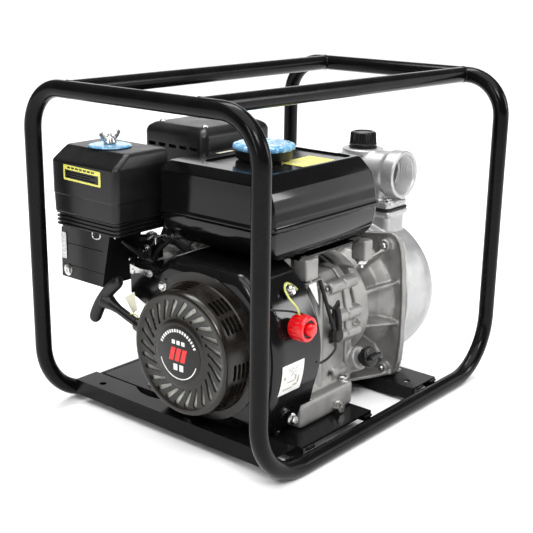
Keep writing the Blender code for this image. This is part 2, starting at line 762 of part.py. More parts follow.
def starter_handle():
    """The T grip, its rope sleeve and the rope's straight run through the cover."""
    rope = aimed_turned([(0, 0), (0, 1.8), (211, 1.8), (211, 0)], rope_at(-145), ROPE_DIRECTION, 8)
    sleeve = aimed_turned([(0, 0), (0, 5.6), (40, 5.6), (60, 9), (60, 0)], rope_at(3), ROPE_DIRECTION, 12)
    middle = rope_at(66)
    way = Vector((0, -0.62, 0.785))
    bow = ROPE_DIRECTION * 7
    path = []
    for i in range(7):
        place = (i - 3) / 3
        path.append(middle + way * 42 * place + bow * (0.5 - place * place))
    grip = sweep(path, 9.0, 12)
    shape = united(grip, sleeve, rope)
    new_object("starter_handle", shape, "plastic_black", tuple(rope_at(0)))


def ignition_coil():
    """The coil beside the flywheel's rim, on two legs to the crankcase."""
    block = soft_box((-168, -150), (91, 107), (-22, 22), 3, 1)
    legs = [box((-152, CASE_FRONT - GAP), (96, 104), (z, z + 7)) for z in (-20, 13)]
    spin = Matrix.Translation((0, CRANK_Y, CRANK_Z)) @ Matrix.Rotation(math.radians(25), 4, "X")
    new_object("ignition_coil", placed(united(block, joined(legs)), spin), "plastic_black")


# Switch

SWITCH_AT = (-159.0, 176.0)


def engine_switch():
    """The round stop switch on the housing's side."""
    barrel = turned([(-157, 0), (-157, 13), (-159, 16), (-178, 17), (-180, 15.5), (-180, 9.4), (-168, 9.4),
                     (-168, 0)], "Y", SWITCH_AT, 24)
    new_object("engine_switch", barrel, "switch_red")


def switch_button():
    """The stop button, sliding in the switch's barrel."""
    profile = [(-174, 0), (-174, 9), (-185, 9), (-187, 7.5), (-187, 0)]
    origin = (SWITCH_AT[0], -174, SWITCH_AT[1])
    new_object("switch_button", turned(profile, "Y", SWITCH_AT, 20), "switch_red", origin)


# Fuel tank

def tank_upper():
    """The tank's upper pressing with its flange, shoulder, recessed top and filler neck."""
    inner = [(TANK_TOP - 8, 17), (333, 8), (SEAM_Z + 4, 2.5), (SEAM_Z + GAP / 2, 2.5)]
    outer = [(SEAM_Z + GAP / 2, -3), (SEAM_Z + 2.5, -3), (SEAM_Z + 3.5, 0), (335, 5, 3), (TANK_TOP, 15, 13)]
    shape = stacked(TANK_X, TANK_Y, inner + outer, TANK_CORNER)
    panel = soft_box((CAP_XY[0] - 56, TANK_X[1] - 36), (CAP_XY[1] - 56, CAP_XY[1] + 56),
                     (TANK_TOP - 4, TANK_TOP + 8), 14, 3, "Z")
    neck = turned([(TANK_TOP - 7, 27), (TANK_TOP - 7, 30), (TANK_TOP + 3, 30), (TANK_TOP + 3, 27)],
                  "Z", CAP_XY, 24)
    filler = rod("Z", CAP_XY, TANK_TOP - 14, TANK_TOP + 8, 27, 24)
    shape = united(cut(shape, panel), neck)
    new_object("tank_upper", cut(shape, filler), "tank_black")


def tank_lower():
    """The tank's lower pressing, rounded in towards its flat bottom."""
    inner = [(241, 26, 44), (247, 14, 26), (258, 7, 13), (281, 2.5), (SEAM_Z - GAP / 2, 2.5)]
    outer = [(SEAM_Z - GAP / 2, -3), (SEAM_Z - 2.5, -3), (SEAM_Z - 3.5, 0), (258, 4, 10), (246, 10, 22),
             (238.5, 24, 42)]
    new_object("tank_lower", stacked(TANK_X, TANK_Y, inner + outer, TANK_CORNER), "tank_black")


def tank_bracket():
    """The bracket between crankcase and tank, with two posts at its outer corners."""
    top = 238.2
    plate = box((-99, 48), (-124, 20), (top - 5, top))
    window = box((-12, 26), (-92, -10), (top - 10, top + 5))
    posts = [soft_box((x, x + 24), (-128, -104), (207, top - 2), 3, 1, "Z") for x in (-99, 24)]
    legs = [box((x, x + 20), (y, y + 20), (CASE_TOP + GAP, top - 2)) for x in (-96, -38) for y in (-86, -22)]
    new_object("tank_bracket", united(cut(plate, window), joined(posts), joined(legs)), "cast_aluminium")


def fuel_cap():
    """The bayonet cap over the filler neck."""
    low, high = TANK_TOP - 3.0, 369.5
    profile = [(TANK_TOP + 5, 0), (TANK_TOP + 5, 31), (low, 31), (low, 41), (high - 5, 41), (high, 36),
               (high, 0)]
    new_object("fuel_cap", turned(profile, "Z", CAP_XY, 32), "film_blue", (*CAP_XY, high))


def fuel_strainer():
    """The mesh cup that hangs in the filler neck."""
    rim = TANK_TOP + 3 + GAP
    profile = [(303, 0), (303, 21), (rim + 1, 24), (rim + 1, 29), (rim, 29), (rim, 25.5), (302, 22), (302, 0)]
    new_object("fuel_strainer", turned(profile, "Z", CAP_XY, 20), "brass")


# Carburettor and air cleaner

BOWL_Y = 103.0
COCK_AT = (104.0, 171.0)
CHOKE_AT = (-146.0, 196.0)


def carburettor():
    """The carburettor body between the head's intake port and the air cleaner's case."""
    centre = along_cylinder(152, 0)
    flange = soft_box((CASE_FRONT - 8, CASE_FRONT - GAP), (centre[0] - 14, centre[0] + 16),
                      (centre[1] - 22, centre[1] + 22), 5, 1, "X")
    barrel = rod("X", centre, -158, CASE_FRONT - 6, 14, 16)
    well = rod("Z", (-136, BOWL_Y), centre[1] - 34, centre[1], 15, 16)
    cock = rod("X", COCK_AT, -158.2, -140, 6, 12)
    choke = rod("Y", CHOKE_AT, 100, 119 - GAP, 3.5, 8)
    shape = united(barrel, flange, well, cock, choke)
    bore = rod("X", centre, -160, CASE_FRONT + 2, 10, 16)
    new_object("carburettor", cut(shape, bore), "cast_aluminium")


def float_bowl():
    """The float bowl under the carburettor."""
    centre = along_cylinder(152, 0)
    top = centre[1] - 34 - GAP
    profile = [(top, 0), (top, 21), (top - 22, 20), (top - 28, 14),
               (top - 28, 5), (top - 34, 5), (top - 34, 0)]
    new_object("float_bowl", turned(profile, "Z", (-136, BOWL_Y), 20), "steel")


def air_cleaner_case():
    """The lower case: a tray under the cover and a duct down to the carburettor.

    The duct stands back from the tray's front so that the starter handle can pass it.
    """
    x, y = CLEANER_X, CLEANER_Y
    tray = soft_box((x[0] + 4, x[1] - 4), (y[0] + 4, y[1] - 4), (260, 290), 12, 3, "Z")
    duct = prism([(115, 179), (196, 179), (194, 246), (180, 264), (92, 264)], "X", DUCT_FRONT, -162)
    ribs = [soft_box((x[0] + 1.5, x[1] - 1.5), (y[0] + 1.5, y[1] - 1.5), (z, z + 3), 11, 2, "Z")
            for z in (262, 268)]
    shape = united(tray, duct, joined(ribs))
    cavity = soft_box((x[0] + 8, x[1] - 8), (y[0] + 8, y[1] - 8), (266, 294), 8, 1, "Z")
    throat = prism([(119, 183), (192, 183), (190, 244), (174, 270), (98, 270)], "X", DUCT_FRONT + 4, -166)
    centre = along_cylinder(152, 0)
    spout = soft_box((-172, -158 - GAP), (82, 134), (186, 208), 3, 1)
    channel = box((-169, -162), (87, 130), (190, 204))
    inlet = rod("X", (centre[0], centre[1] + 1), -168, -157, 9, 12)
    shape = united(shape, spout)
    new_object("air_cleaner_case", cut(shape, cavity, throat, channel, inlet), "plastic_black")


def air_cleaner_cover():
    """The cover, a deep shell with chamfered shoulders and a step round its lower edge."""
    top = CLEANER_TOP
    inner = [(top - 3, 18), (top - 18, 3.5), (275, 3.0)]
    outer = [(275, 1.5), (298, 0.5), (300, 0), (345, 0), (top, 15)]
    shape = stacked(CLEANER_X, CLEANER_Y, inner + outer, 13, 3)
    middle = cleaner_centre()
    new_object("air_cleaner_cover", cut(shape, rod("Z", middle, top - 8, top + 4, 4, 12)), "plastic_black")


def cleaner_centre():
    return (sum(CLEANER_X) / 2, sum(CLEANER_Y) / 2)


def air_filter_element():
    """The pleated element inside the cover."""
    middle = cleaner_centre()
    profile = [(291, 24), (291, 42), (337, 42), (337, 24)]
    new_object("air_filter_element", turned(profile, "Z", middle, 24), "foam")


def air_cleaner_washer():
    """The large film-covered washer on top of the cover."""
    low = CLEANER_TOP + GAP
    profile = [(low, 3.4), (low, 29), (low + 2.5, 28), (low + 4, 12), (low + 4, 3.4)]
    new_object("air_cleaner_washer", turned(profile, "Z", cleaner_centre(), 28), "film_blue",
               (*cleaner_centre(), low))


def wing_nut():
    """The wing nut that holds the cover down, with its stud."""
    low = CLEANER_TOP + 4 + 2 * GAP
    middle = cleaner_centre()
    profile = [(low - 14, 0), (low - 14, 3), (low, 3), (low, 8), (low + 8, 6), (low + 8, 0)]
    hub = turned(profile, "Z", middle, 14)
    wings = []
    for side in (-1, 1):
        outline = [(middle[0] + side * 4, low + 1), (middle[0] + side * 11, low + 5),
                   (middle[0] + side * 17, low + 15), (middle[0] + side * 12, low + 15),
                   (middle[0] + side * 4, low + 7)]
        wings.append(prism(outline, "Y", middle[1] - 1.5, middle[1] + 1.5))
    new_object("wing_nut", united(hub, joined(wings)), "steel", (*middle, low))


# Exhaust

def muffler():
    """The silencer drum inside its heat shield."""
    x, y, z = SILENCER_X, SILENCER_Y, SILENCER_Z
    shape = soft_box((x[0] + 8, x[1] - 8), (y[0] + 8, y[1] - 8), (z[0] + 6, z[1] - 8), 16, 2)
    new_object("muffler", cut(shape, rod("Z", (20, PIPE_Y), z[0], z[0] + 40, 12, 16)), "dark_steel")


def muffler_shield():
    """The heat shield: an open-bottomed shell with chamfered shoulders and side slots."""
    x, y, z = SILENCER_X, SILENCER_Y, SILENCER_Z
    inner = [(z[1] - 2.5, 18), (z[1] - 13, 3), (z[0], 2)]
    outer = [(z[0], 0), (z[1] - 14, 0), (z[1] - 4, 5), (z[1], 15)]
    shape = stacked(x, y, inner + outer, 18, 3)
    slots = [box((x[0] - 5, x[0] + 6), (y[0] + 16 + i * 16, y[0] + 26 + i * 16), (318, 326))
             for i in range(5)]
    slots += [box((x[0] + 16 + i * 22, x[0] + 32 + i * 22), (y[0] - 5, y[0] + 6), (330, 338))
              for i in range(4)]
    new_object("muffler_shield", cut(shape, joined(slots)), "housing_black")


def exhaust_pipe():
    """The pipe from the head's exhaust port up into the silencer."""
    port = along_cylinder(152, 0)
    corners = [(CASE_BACK + GAP, *port), (20, *port), (20, PIPE_Y, port[1] + 40),
               (20, PIPE_Y, SILENCER_Z[0] + 20)]
    pipe = sweep(bent_path(corners, (20, 22), 3), 10, 10)
    flange = soft_box((CASE_BACK + GAP, CASE_BACK + 6), (port[0] - 20, port[0] + 20),
                      (port[1] - 14, port[1] + 14), 5, 1, "X")
    way = [(CASE_BACK - 5, *port), *corners[1:3], (20, PIPE_Y, SILENCER_Z[0] + 30)]
    bore = sweep(bent_path(way, (20, 22), 3), 7.5, 8)
    new_object("exhaust_pipe", cut(united(pipe, flange), bore), "cast_iron")


# Levers

def flat_lever(name, axis, pivot, tip, wide, narrow, low, high, finish_name):
    """A tapered flat lever across an axis with a round end at the pivot and at the tip."""
    base, end = Vector(pivot), Vector(tip)
    way = math.degrees(math.atan2(end.y - base.y, end.x - base.x))
    outline = arc(pivot, wide, way + 90, way + 270, 6) + arc(tip, narrow, way - 90, way + 90, 6)
    new_object(name, prism(outline, axis, low, high), finish_name, on_axis(axis, low, *pivot))


def throttle_lever():
    flat_lever("throttle_lever", "X", THROTTLE_AT, (43.0, 208.5), 6.5, 3.5, -201.5, -199.5, "steel")


def choke_lever():
    flat_lever("choke_lever", "Y", CHOKE_AT, (-146.0, 224.0), 5.0, 3.5, 119.0, 121.0, "steel")


def fuel_cock_lever():
    flat_lever("fuel_cock_lever", "X", COCK_AT, (90.0, 165.0), 6.0, 3.5, -162.0, -158.5, "plastic_black")


# Oil plugs

OIL_WAY = Vector((0, -0.94, 0.34)).normalized()
OIL_POINT = Vector((4, -122, 76)) + OIL_WAY * 30


def oil_plug_gasket():
    profile = [(GAP, 8), (GAP, 13), (2.3, 13), (2.3, 8)]
    new_object("oil_plug_gasket", aimed_turned(profile, OIL_POINT, OIL_WAY, 16), "rubber", tuple(OIL_POINT))


def oil_filler_plug():
    """The oil filler's black plug with its finger grip and dipstick."""
    profile = [(-26, 0), (-26, 2), (-8, 2), (-8, 7), (2.6, 7), (2.6, 15), (10, 14), (12, 10), (12, 0)]
    plug = aimed_turned(profile, OIL_POINT, OIL_WAY, 18)
    grip = aimed(soft_box((-12, 12), (-3, 3), (10, 21), 2, 1), OIL_POINT, OIL_WAY)
    new_object("oil_filler_plug", united(plug, grip), "plastic_black", tuple(OIL_POINT))


def oil_drain_bolt():
    """The sump's drain bolt in the base of the crankcase."""
    profile = [(-146.3, 0), (-146.3, 9), (-148, 9), (-148, 7.5), (-155, 7.5), (-155, 0)]
    new_object("oil_drain_bolt", turned(profile, "Y", (-52, 34), 6), "steel")


# Pump

def joint_flange(low, high, middle):
    """The squared flange where bracket and pump bolt together, open in the middle."""
    half = JOINT_EDGE + tuple((-u, z) for u, z in reversed(JOINT_EDGE))
    plate = prism([(CRANK_Y + u, z) for u, z in half], "X", low, high)
    return cut(plate, rod("X", (CRANK_Y, CRANK_Z), low - 2, high + 2, middle, 32))


def pump_bracket():
    """The ribbed casting that joins the engine to the pump and closes the pump's back."""
    low = DRIVE_FACE + GAP
    profile = [(low, 30), (low, 72), (52, 74), (84, 82), (96, 96), (96, 102), (PUMP_JOINT, 102),
               (PUMP_JOINT, 18), (100, 18), (100, 66), (56, 64), (27, 62), (27, 30)]
    shape = crank_turned(profile, 28)
    ribs = []
    for i in range(8):
        rib = prism([(48, 70), (97, 70), (97, 101.5), (50, 76)], "Y", -2, 2)
        spin = Matrix.Rotation(math.radians(22.5 + 45 * i - 90), 4, "X")
        ribs.append(placed(rib, Matrix.Translation((0, CRANK_Y, CRANK_Z)) @ spin))
    flange = joint_flange(PUMP_JOINT - 6, PUMP_JOINT, 90)
    feet = [soft_box((90, PUMP_JOINT), (y, y + 28), (24 + GAP, 76), 5, 2, "Z") for y in (-134, 20)]
    new_object("pump_bracket", united(shape, joined(ribs), flange, joined(feet)), "cast_aluminium")


def pump_casing():
    """The pump's body: a domed drum with the suction port at its end and the discharge neck on top."""
    low = PUMP_JOINT + GAP
    profile = [(low, 98), (low, PUMP_R + 2), (low + 8, PUMP_R + 2), (low + 10, PUMP_R), (168, PUMP_R),
               (184, 99),
               (196, 87), (203, 68), (205, 44), (210, 38), (SUCTION_FACE, 37), (SUCTION_FACE, SUCTION_R),
               (199, SUCTION_R), (199, 62), (190, 82), (178, 94), (164, 98)]
    shape = crank_turned(profile, 32)
    neck = stacked((ELBOW_X - 24, ELBOW_X + 24), (-95, -7), [(190, -6), (222, 0), (NECK_TOP, 0)], 9, 2)
    flange = joint_flange(low, low + 7, 101)
    boss = rod("Z", (162, CRANK_Y), 22, 40, 13, 14)
    shape = united(shape, neck, flange, boss)
    passage = soft_box((ELBOW_X - 17, ELBOW_X + 17), (-88, -14), (196, NECK_TOP + 4), 6, 1, "Z")
    hollow = [(low - 4, 0), (low - 4, 98), (164, 98), (178, 94), (190, 82), (199, 62), (199, 0)]
    drum = crank_turned(hollow, 32)
    drain = rod("Z", (162, CRANK_Y), 18, 46, 6, 10)
    new_object("pump_casing", cut(shape, drum, passage, drain), "pump_aluminium")


def volute():
    """The spiral chamber round the impeller, open at its eye and at the top."""
    low = PUMP_JOINT + GAP
    profile = [(low, 70), (low, 78), (152, 78), (152, 30), (146, 30), (146, 70)]
    shape = crank_turned(profile, 24)
    outlet = box((low + 6, 142), (CRANK_Y - 24, CRANK_Y + 16), (CRANK_Z + 60, CRANK_Z + 90))
    new_object("volute", cut(shape, outlet), "cast_iron")


def impeller():
    """The open two-vane trash impeller on the shaft's end."""
    disc = crank_turned([(114, 10 + GAP), (114, 60), (118, 62), (122, 16), (142, 14), (142, 10 + GAP)], 20)
    vanes = []
    for start in (0, 120, 240):
        points = [(14 + 46 * i / 4, start + 70 * i / 4) for i in range(5)]
        outer = [(r * math.cos(math.radians(a)), r * math.sin(math.radians(a))) for r, a in points]
        inner = [(r * math.cos(math.radians(a + 6 + 60 / r)), r * math.sin(math.radians(a + 6 + 60 / r)))
                 for r, a in points]
        outline = [(CRANK_Y + u, CRANK_Z + v) for u, v in outer + inner[::-1]]
        vanes.append(prism(outline, "X", 116, 138))
    new_object("impeller", united(disc, joined(vanes)), "cast_iron", (0, CRANK_Y, CRANK_Z))


def mechanical_seal():
    """The shaft seal's stationary ring in the bracket's back."""
    profile = [(100.3, 10 + GAP), (100.3, 17.7), (107.5, 17.7), (112, 15), (112, 10 + GAP)]
    new_object("mechanical_seal", crank_turned(profile, 20), "rubber")


FLAP_HINGE = (198.4, CRANK_Z + 36)


def check_valve_flap():
    """The rubber flap that closes the suction port from inside, hung from its top edge."""
    disc = crank_rod(194.4, 198.7, 31, 24)
    tab = soft_box((194.4, 198.7), (CRANK_Y - 10, CRANK_Y + 10), (CRANK_Z + 20, FLAP_HINGE[1] + 0.3), 0.8, 1)
    new_object("check_valve_flap", united(disc, tab), "rubber", (FLAP_HINGE[0], CRANK_Y, FLAP_HINGE[1]))


def discharge_gasket():
    low, high = NECK_TOP + GAP, NECK_TOP + 2.5
    shape = soft_box((ELBOW_X - 27, ELBOW_X + 27), (-98, -4), (low, high), 8, 2, "Z")
    hole = soft_box((ELBOW_X - 17, ELBOW_X + 17), (-88, -14), (low - 4, high + 4), 6, 1, "Z")
    new_object("discharge_gasket", cut(shape, hole), "rubber")


def discharge_elbow():
    """The discharge elbow: flange, port facing -Y and the priming neck on top."""
    low = NECK_TOP + 2.5 + GAP
    flange = soft_box((ELBOW_X - 25, ELBOW_X + 25), (-96, -6), (low, low + 10), 8, 2, "Z")
    riser = stacked((ELBOW_X - 22, ELBOW_X + 22), (-84, -10), [(low + 8, 0), (PORT_Z - 8, 4)], 9, 2)
    barrel = turned([(PORT_Y, 0), (PORT_Y, 32), (PORT_Y + 2, 33.5), (PORT_Y + 20, 33.5), (PORT_Y + 24, 30.5),
                     (-14, 30), (-4, 24), (-4, 0)], "Y", (ELBOW_X, PORT_Z), 24)
    neck = turned([(PORT_Z, 0), (PORT_Z, 24), (326, 24), (327, 29.5), (334, 29.5), (335, 28), (335, 0)],
                  "Z", (ELBOW_X + 2, PRIMING_Y), 24)
    shape = united(barrel, flange, riser, neck)
    port = rod("Y", (ELBOW_X, PORT_Z), PORT_Y - 4, PORT_Y + 26, PORT_R, 24)
    inner = rod("Y", (ELBOW_X, PORT_Z), PORT_Y + 20, -12, 24, 20)
    down = soft_box((ELBOW_X - 17, ELBOW_X + 17), (-78, -16), (low - 4, PORT_Z - 10), 6, 1, "Z")
    priming = rod("Z", (ELBOW_X + 2, PRIMING_Y), PORT_Z + 10, 340, 14, 20)
    new_object("discharge_elbow", cut(shape, port, inner, down, priming), "pump_aluminium")


def priming_gasket():
    low = 335 + GAP
    profile = [(low, 14), (low, 20), (low + 2, 20), (low + 2, 14)]
    centre = (ELBOW_X + 2, PRIMING_Y)
    new_object("priming_gasket", turned(profile, "Z", centre, 24), "rubber", (*centre, low))


def priming_cap():
    """The black priming plug with a square grip."""
    low = 337 + 2 * GAP
    centre = (ELBOW_X + 2, PRIMING_Y)
    plug = turned([(low - 16, 0), (low - 16, 13), (low, 13), (low, 19.5), (low + 3, 19.5), (low + 19, 18.5),
                   (low + 20.5, 17), (low + 20.5, 0)], "Z", centre, 24)
    new_object("priming_cap", plug, "plastic_black", (*centre, low))


def pump_drain_plug():
    """The hexagon plug under the drum."""
    profile = [(36, 0), (36, 5.6), (22 - GAP, 5.6), (22 - GAP, 10), (15, 10), (15, 0)]
    new_object("pump_drain_plug", turned(profile, "Z", (162, CRANK_Y), 6), "brass")


def build():
    clear_scene()
    end_hoop("recoil_end_hoop", -1)
    end_hoop("pump_end_hoop", 1)
    top_rail("top_rail_far", RAIL_FAR_Y, RAIL_FAR_Y)
    top_rail("top_rail_near", *RAIL_NEAR_Y)
    main_bearing("front_bearing", CASE_FRONT + 0.5)
    main_bearing("rear_bearing", -5.5)
    pieces = (recoil_end_channel, engine_plate, pump_end_channel, crankcase, side_cover, cylinder_head,
              rocker_cover, spark_plug, spark_plug_cap, crankshaft, camshaft, piston, flywheel, cooling_fan,
              starter_cup, blower_housing, recoil_cover, starter_reel, starter_handle, ignition_coil,
              engine_switch, switch_button, tank_upper, tank_lower, tank_bracket, fuel_cap, fuel_strainer,
              carburettor, float_bowl, air_cleaner_case, air_cleaner_cover, air_filter_element,
              air_cleaner_washer, wing_nut, muffler, muffler_shield, exhaust_pipe, throttle_lever,
              choke_lever, fuel_cock_lever, oil_plug_gasket, oil_filler_plug, oil_drain_bolt, pump_bracket,
              pump_casing, volute, impeller, mechanical_seal, check_valve_flap, discharge_gasket,
              discharge_elbow, priming_gasket, priming_cap, pump_drain_plug)
    for piece in pieces:
        piece()


build()
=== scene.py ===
"""Looks of the petrol-engined trash pump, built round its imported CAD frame.

Lengths are in millimetres until new_piece, which scales them to metres.
X runs along the crankshaft towards the pump, -Y is the switch side and Z is up.
"""
import math
import random

import bmesh
import bpy
from mathutils import Matrix, Vector, noise


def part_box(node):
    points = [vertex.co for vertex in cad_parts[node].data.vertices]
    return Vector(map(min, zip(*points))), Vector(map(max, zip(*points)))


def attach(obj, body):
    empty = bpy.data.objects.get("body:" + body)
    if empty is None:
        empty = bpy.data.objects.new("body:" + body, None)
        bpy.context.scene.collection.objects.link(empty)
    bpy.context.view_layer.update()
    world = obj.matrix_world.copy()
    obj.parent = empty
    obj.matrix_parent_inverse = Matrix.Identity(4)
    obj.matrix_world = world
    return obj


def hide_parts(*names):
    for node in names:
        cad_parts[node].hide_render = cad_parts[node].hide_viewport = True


MM = 0.001
random.seed(7)
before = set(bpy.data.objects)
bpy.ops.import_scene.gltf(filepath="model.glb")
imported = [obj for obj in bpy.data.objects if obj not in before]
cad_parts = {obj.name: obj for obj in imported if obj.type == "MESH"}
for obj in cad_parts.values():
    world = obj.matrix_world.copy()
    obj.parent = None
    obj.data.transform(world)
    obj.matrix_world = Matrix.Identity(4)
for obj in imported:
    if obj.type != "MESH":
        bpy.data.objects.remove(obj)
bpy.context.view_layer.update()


def span(node):
    """A node's lowest and highest corners in millimetres."""
    low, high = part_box(node)
    return Vector(low) / MM, Vector(high) / MM


def middle(node):
    low, high = span(node)
    return (low + high) / 2


# Stations read from the frame
TUBE_R = (span("top_rail_far")[1].z - span("top_rail_far")[0].z) / 2
HOOP_HIGH = span("pump_end_hoop")[1]
FRAME_X = HOOP_HIGH.x - TUBE_R
FRAME_Y = HOOP_HIGH.y - TUBE_R
TOP_Z = HOOP_HIGH.z - TUBE_R
CRANK_Y, CRANK_Z = middle("starter_reel").y, middle("starter_reel").z
RECOIL_LOW, RECOIL_HIGH = span("recoil_cover")
HOUSING_LOW, HOUSING_HIGH = span("blower_housing")
CASE_LOW, CASE_HIGH = span("crankcase")
COVER_LOW, COVER_HIGH = span("side_cover")
BRACKET_LOW, BRACKET_HIGH = span("pump_bracket")
CASING_LOW, CASING_HIGH = span("pump_casing")
ELBOW_LOW = span("discharge_elbow")[0]
TANK_LOW, TANK_HIGH = span("tank_upper")
TANK_BOTTOM = span("tank_lower")[0].z
CLEANER_LOW, CLEANER_HIGH = span("air_cleaner_cover")
CASE_BOX_HIGH = span("air_cleaner_case")[1]
SHIELD_LOW, SHIELD_HIGH = span("muffler_shield")
CAP = middle("fuel_cap")
PRIMING = middle("priming_cap")
WASHER = middle("air_cleaner_washer")
SWITCH = middle("switch_button")
SEAM_Z = TANK_LOW.z

# Driving dimensions
FLANGE = 3.0
TANK_CORNER = 11.0
TANK_TOP = 349.0
TOP_BEND, BOTTOM_BEND = 56.0, 80.0
HOUSING_R = 118.0
HOUSING_TOP = 235.0
DUCT_Y = HOUSING_HIGH.y
RECOIL_R = 79.0
PUMP_R = 104.0
PORT_R = 26.7
PORT_Z = 305.0
ELBOW_X = 150.0
CYLINDER_TILT = math.radians(25)
ROPE_POINT = Vector((-228.0, 36.0, 148.5))
ROPE_WAY = Vector((0.0, 0.952, 0.306))
JOINT_LOBES = ((-113.0, 215.5), (27.0, 215.5), (-118.0, 36.0), (32.0, 36.0))
CASE_BOLTS = ((-127, 119), (-127, 146), (-119, 186), (-126, 72))
COVER_BOLTS = CASE_BOLTS + ((50, 60), (50, 140), (-40, 200), (-60, 46))
STARTER_EARS = (165, 45, 285)
FEET_LOW, FEET_HIGH = 26.0, 59.0
BOSS_FACE = -44.0
BRACKET_PADS = tuple((y, z) for y in (-108, 0) for z in (66, 176))
FILLER_WAY = Vector((0, -0.94, 0.34)).normalized()

# Directions
UP, DOWN = (0, 0, 1), (0, 0, -1)
TO_PUMP, TO_STARTER, TO_NEAR = (1, 0, 0), (-1, 0, 0), (0, -1, 0)


# Shapes, as bmeshes in whole-machine millimetres

def loft(loops):
    """Skin rings of points and cap the end rings."""
    shape = bmesh.new()
    rings = [[shape.verts.new(point) for point in loop] for loop in loops]
    for low, high in zip(rings, rings[1:]):
        count = len(low)
        for i in range(count):
            j = (i + 1) % count
            shape.faces.new((low[i], low[j], high[j], high[i]))
    shape.faces.new(rings[0])
    shape.faces.new(rings[-1])
    bmesh.ops.recalc_face_normals(shape, faces=shape.faces)
    return shape


def on_axis(axis, along, across, up):
    return {"X": (along, across, up), "Y": (across, along, up), "Z": (across, up, along)}[axis]


def prism(outline, axis, low, high):
    return loft([[on_axis(axis, place, u, v) for u, v in outline] for place in (low, high)])


def about(place, half):
    """The span that reaches half to each side of a place."""
    return place - half, place + half


def box(x, y, z):
    return prism([(y[0], z[0]), (y[1], z[0]), (y[1], z[1]), (y[0], z[1])], "X", x[0], x[1])


def soft_box(x, y, z, radius, segments=3, axis=None):
    """A box with rounded edges, or with only the edges along one axis rounded."""
    shape = box(x, y, z)
    index = {"X": 0, "Y": 1, "Z": 2}.get(axis)
    edges = []
    for edge in shape.edges:
        way = edge.verts[1].co - edge.verts[0].co
        if index is None or abs(way[index]) > 0.9 * way.length:
            edges.append(edge)
    bmesh.ops.bevel(shape, geom=edges, offset=radius, segments=segments, profile=0.5, affect="EDGES")
    return shape


def turned(profile, axis, centre, steps=48, hollow=False):
    """Spin (along, radius) points about an axis: a solid with flat ends, or a hollow ring."""
    if not hollow and profile[0][1]:
        profile = [(profile[0][0], 0), *profile, (profile[-1][0], 0)]
    shape = bmesh.new()
    rings = []
    for along, radius in profile:
        if radius == 0:
            rings.append([shape.verts.new(on_axis(axis, along, centre[0], centre[1]))])
            continue
        ring = []
        for i in range(steps):
            turn = 2 * math.pi * i / steps
            place = (centre[0] + radius * math.cos(turn), centre[1] + radius * math.sin(turn))
            ring.append(shape.verts.new(on_axis(axis, along, *place)))
        rings.append(ring)
    pairs = list(zip(rings, rings[1:]))
    if hollow:
        pairs.append((rings[-1], rings[0]))
    for low, high in pairs:
        for i in range(steps):
            j = (i + 1) % steps
            if len(low) == 1:
                shape.faces.new((low[0], high[j], high[i]))
            elif len(high) == 1:
                shape.faces.new((low[i], low[j], high[0]))
            else:
                shape.faces.new((low[i], low[j], high[j], high[i]))
    bmesh.ops.recalc_face_normals(shape, faces=shape.faces)
    return shape


def rod(axis, centre, low, high, radius, steps=32):
    return turned([(low, radius), (high, radius)], axis, centre, steps)


def crank_turned(profile, steps=96, hollow=False):
    return turned(profile, "X", (CRANK_Y, CRANK_Z), steps, hollow)


def placed(shape, matrix):
    bmesh.ops.transform(shape, matrix=matrix, verts=shape.verts)
    return shape


def aimed(shape, start, way):
    """Move a shape made along +Z from the origin so that it starts at a point and aims along a vector."""
    turn = Vector(way).to_track_quat("Z", "Y").to_matrix().to_4x4()
    return placed(shape, Matrix.Translation(Vector(start)) @ turn)


def round_crank(shape, degrees):
    """Turn a shape made beside the crank axis, towards +Y, about that axis."""
    spin = Matrix.Rotation(math.radians(degrees), 4, "X")
    return placed(shape, Matrix.Translation((0, CRANK_Y, CRANK_Z)) @ spin)


def round_crank_point(x, radius, degrees):
    turn = math.radians(degrees)
    return Vector((x, CRANK_Y + radius * math.cos(turn), CRANK_Z + radius * math.sin(turn)))


def crank_rib(outline, half, degrees):
    """A rib standing out from the crank axis, from an outline of (X, radius) points."""
    rib = prism(outline, "Y", -half, half)
    return round_crank(placed(rib, Matrix.Rotation(math.radians(-90), 4, "X")), degrees)


def aimed_turned(profile, start, way, steps=32):
    return aimed(turned(profile, "Z", (0, 0), steps), start, way)


def sweep(path, radii, sides=24):
    """A round bar along a path, of one radius or one for each point."""
    points = [Vector(point) for point in path]
    if not isinstance(radii, (list, tuple)):
        radii = [radii] * len(points)
    normal = Vector(UP)
    loops = []
    before = None
    for i, point in enumerate(points):
        way = (points[min(i + 1, len(points) - 1)] - points[max(i - 1, 0)]).normalized()
        if before is None:
            if abs(way.z) > 0.9:
                normal = Vector(TO_PUMP)
        else:
            normal = before.rotation_difference(way) @ normal
        normal = (normal - way * normal.dot(way)).normalized()
        side = way.cross(normal)
        before = way
        loop = []
        for k in range(sides):
            turn = 2 * math.pi * (k + 0.5) / sides
            loop.append(point + (normal * math.cos(turn) + side * math.sin(turn)) * radii[i])
        loops.append(loop)
    return loft(loops)


def bent_path(corners, bends):
    """Corner points joined by straights and by arcs of the given bend radii."""
    segments = 14
    path = [Vector(corners[0])]
    for i, bend in enumerate(bends, start=1):
        corner = Vector(corners[i])
        back = (Vector(corners[i - 1]) - corner).normalized()
        ahead = (Vector(corners[i + 1]) - corner).normalized()
        half = back.angle(ahead) / 2
        centre = corner + (back + ahead).normalized() * bend / math.sin(half)
        spoke = corner + back * bend / math.tan(half) - centre
        axis = back.cross(ahead).normalized()
        for k in range(segments + 1):
            turn = Matrix.Rotation(-(math.pi - 2 * half) * k / segments, 3, axis)
            path.append(centre + turn @ spoke)
    path.append(Vector(corners[-1]))
    return path


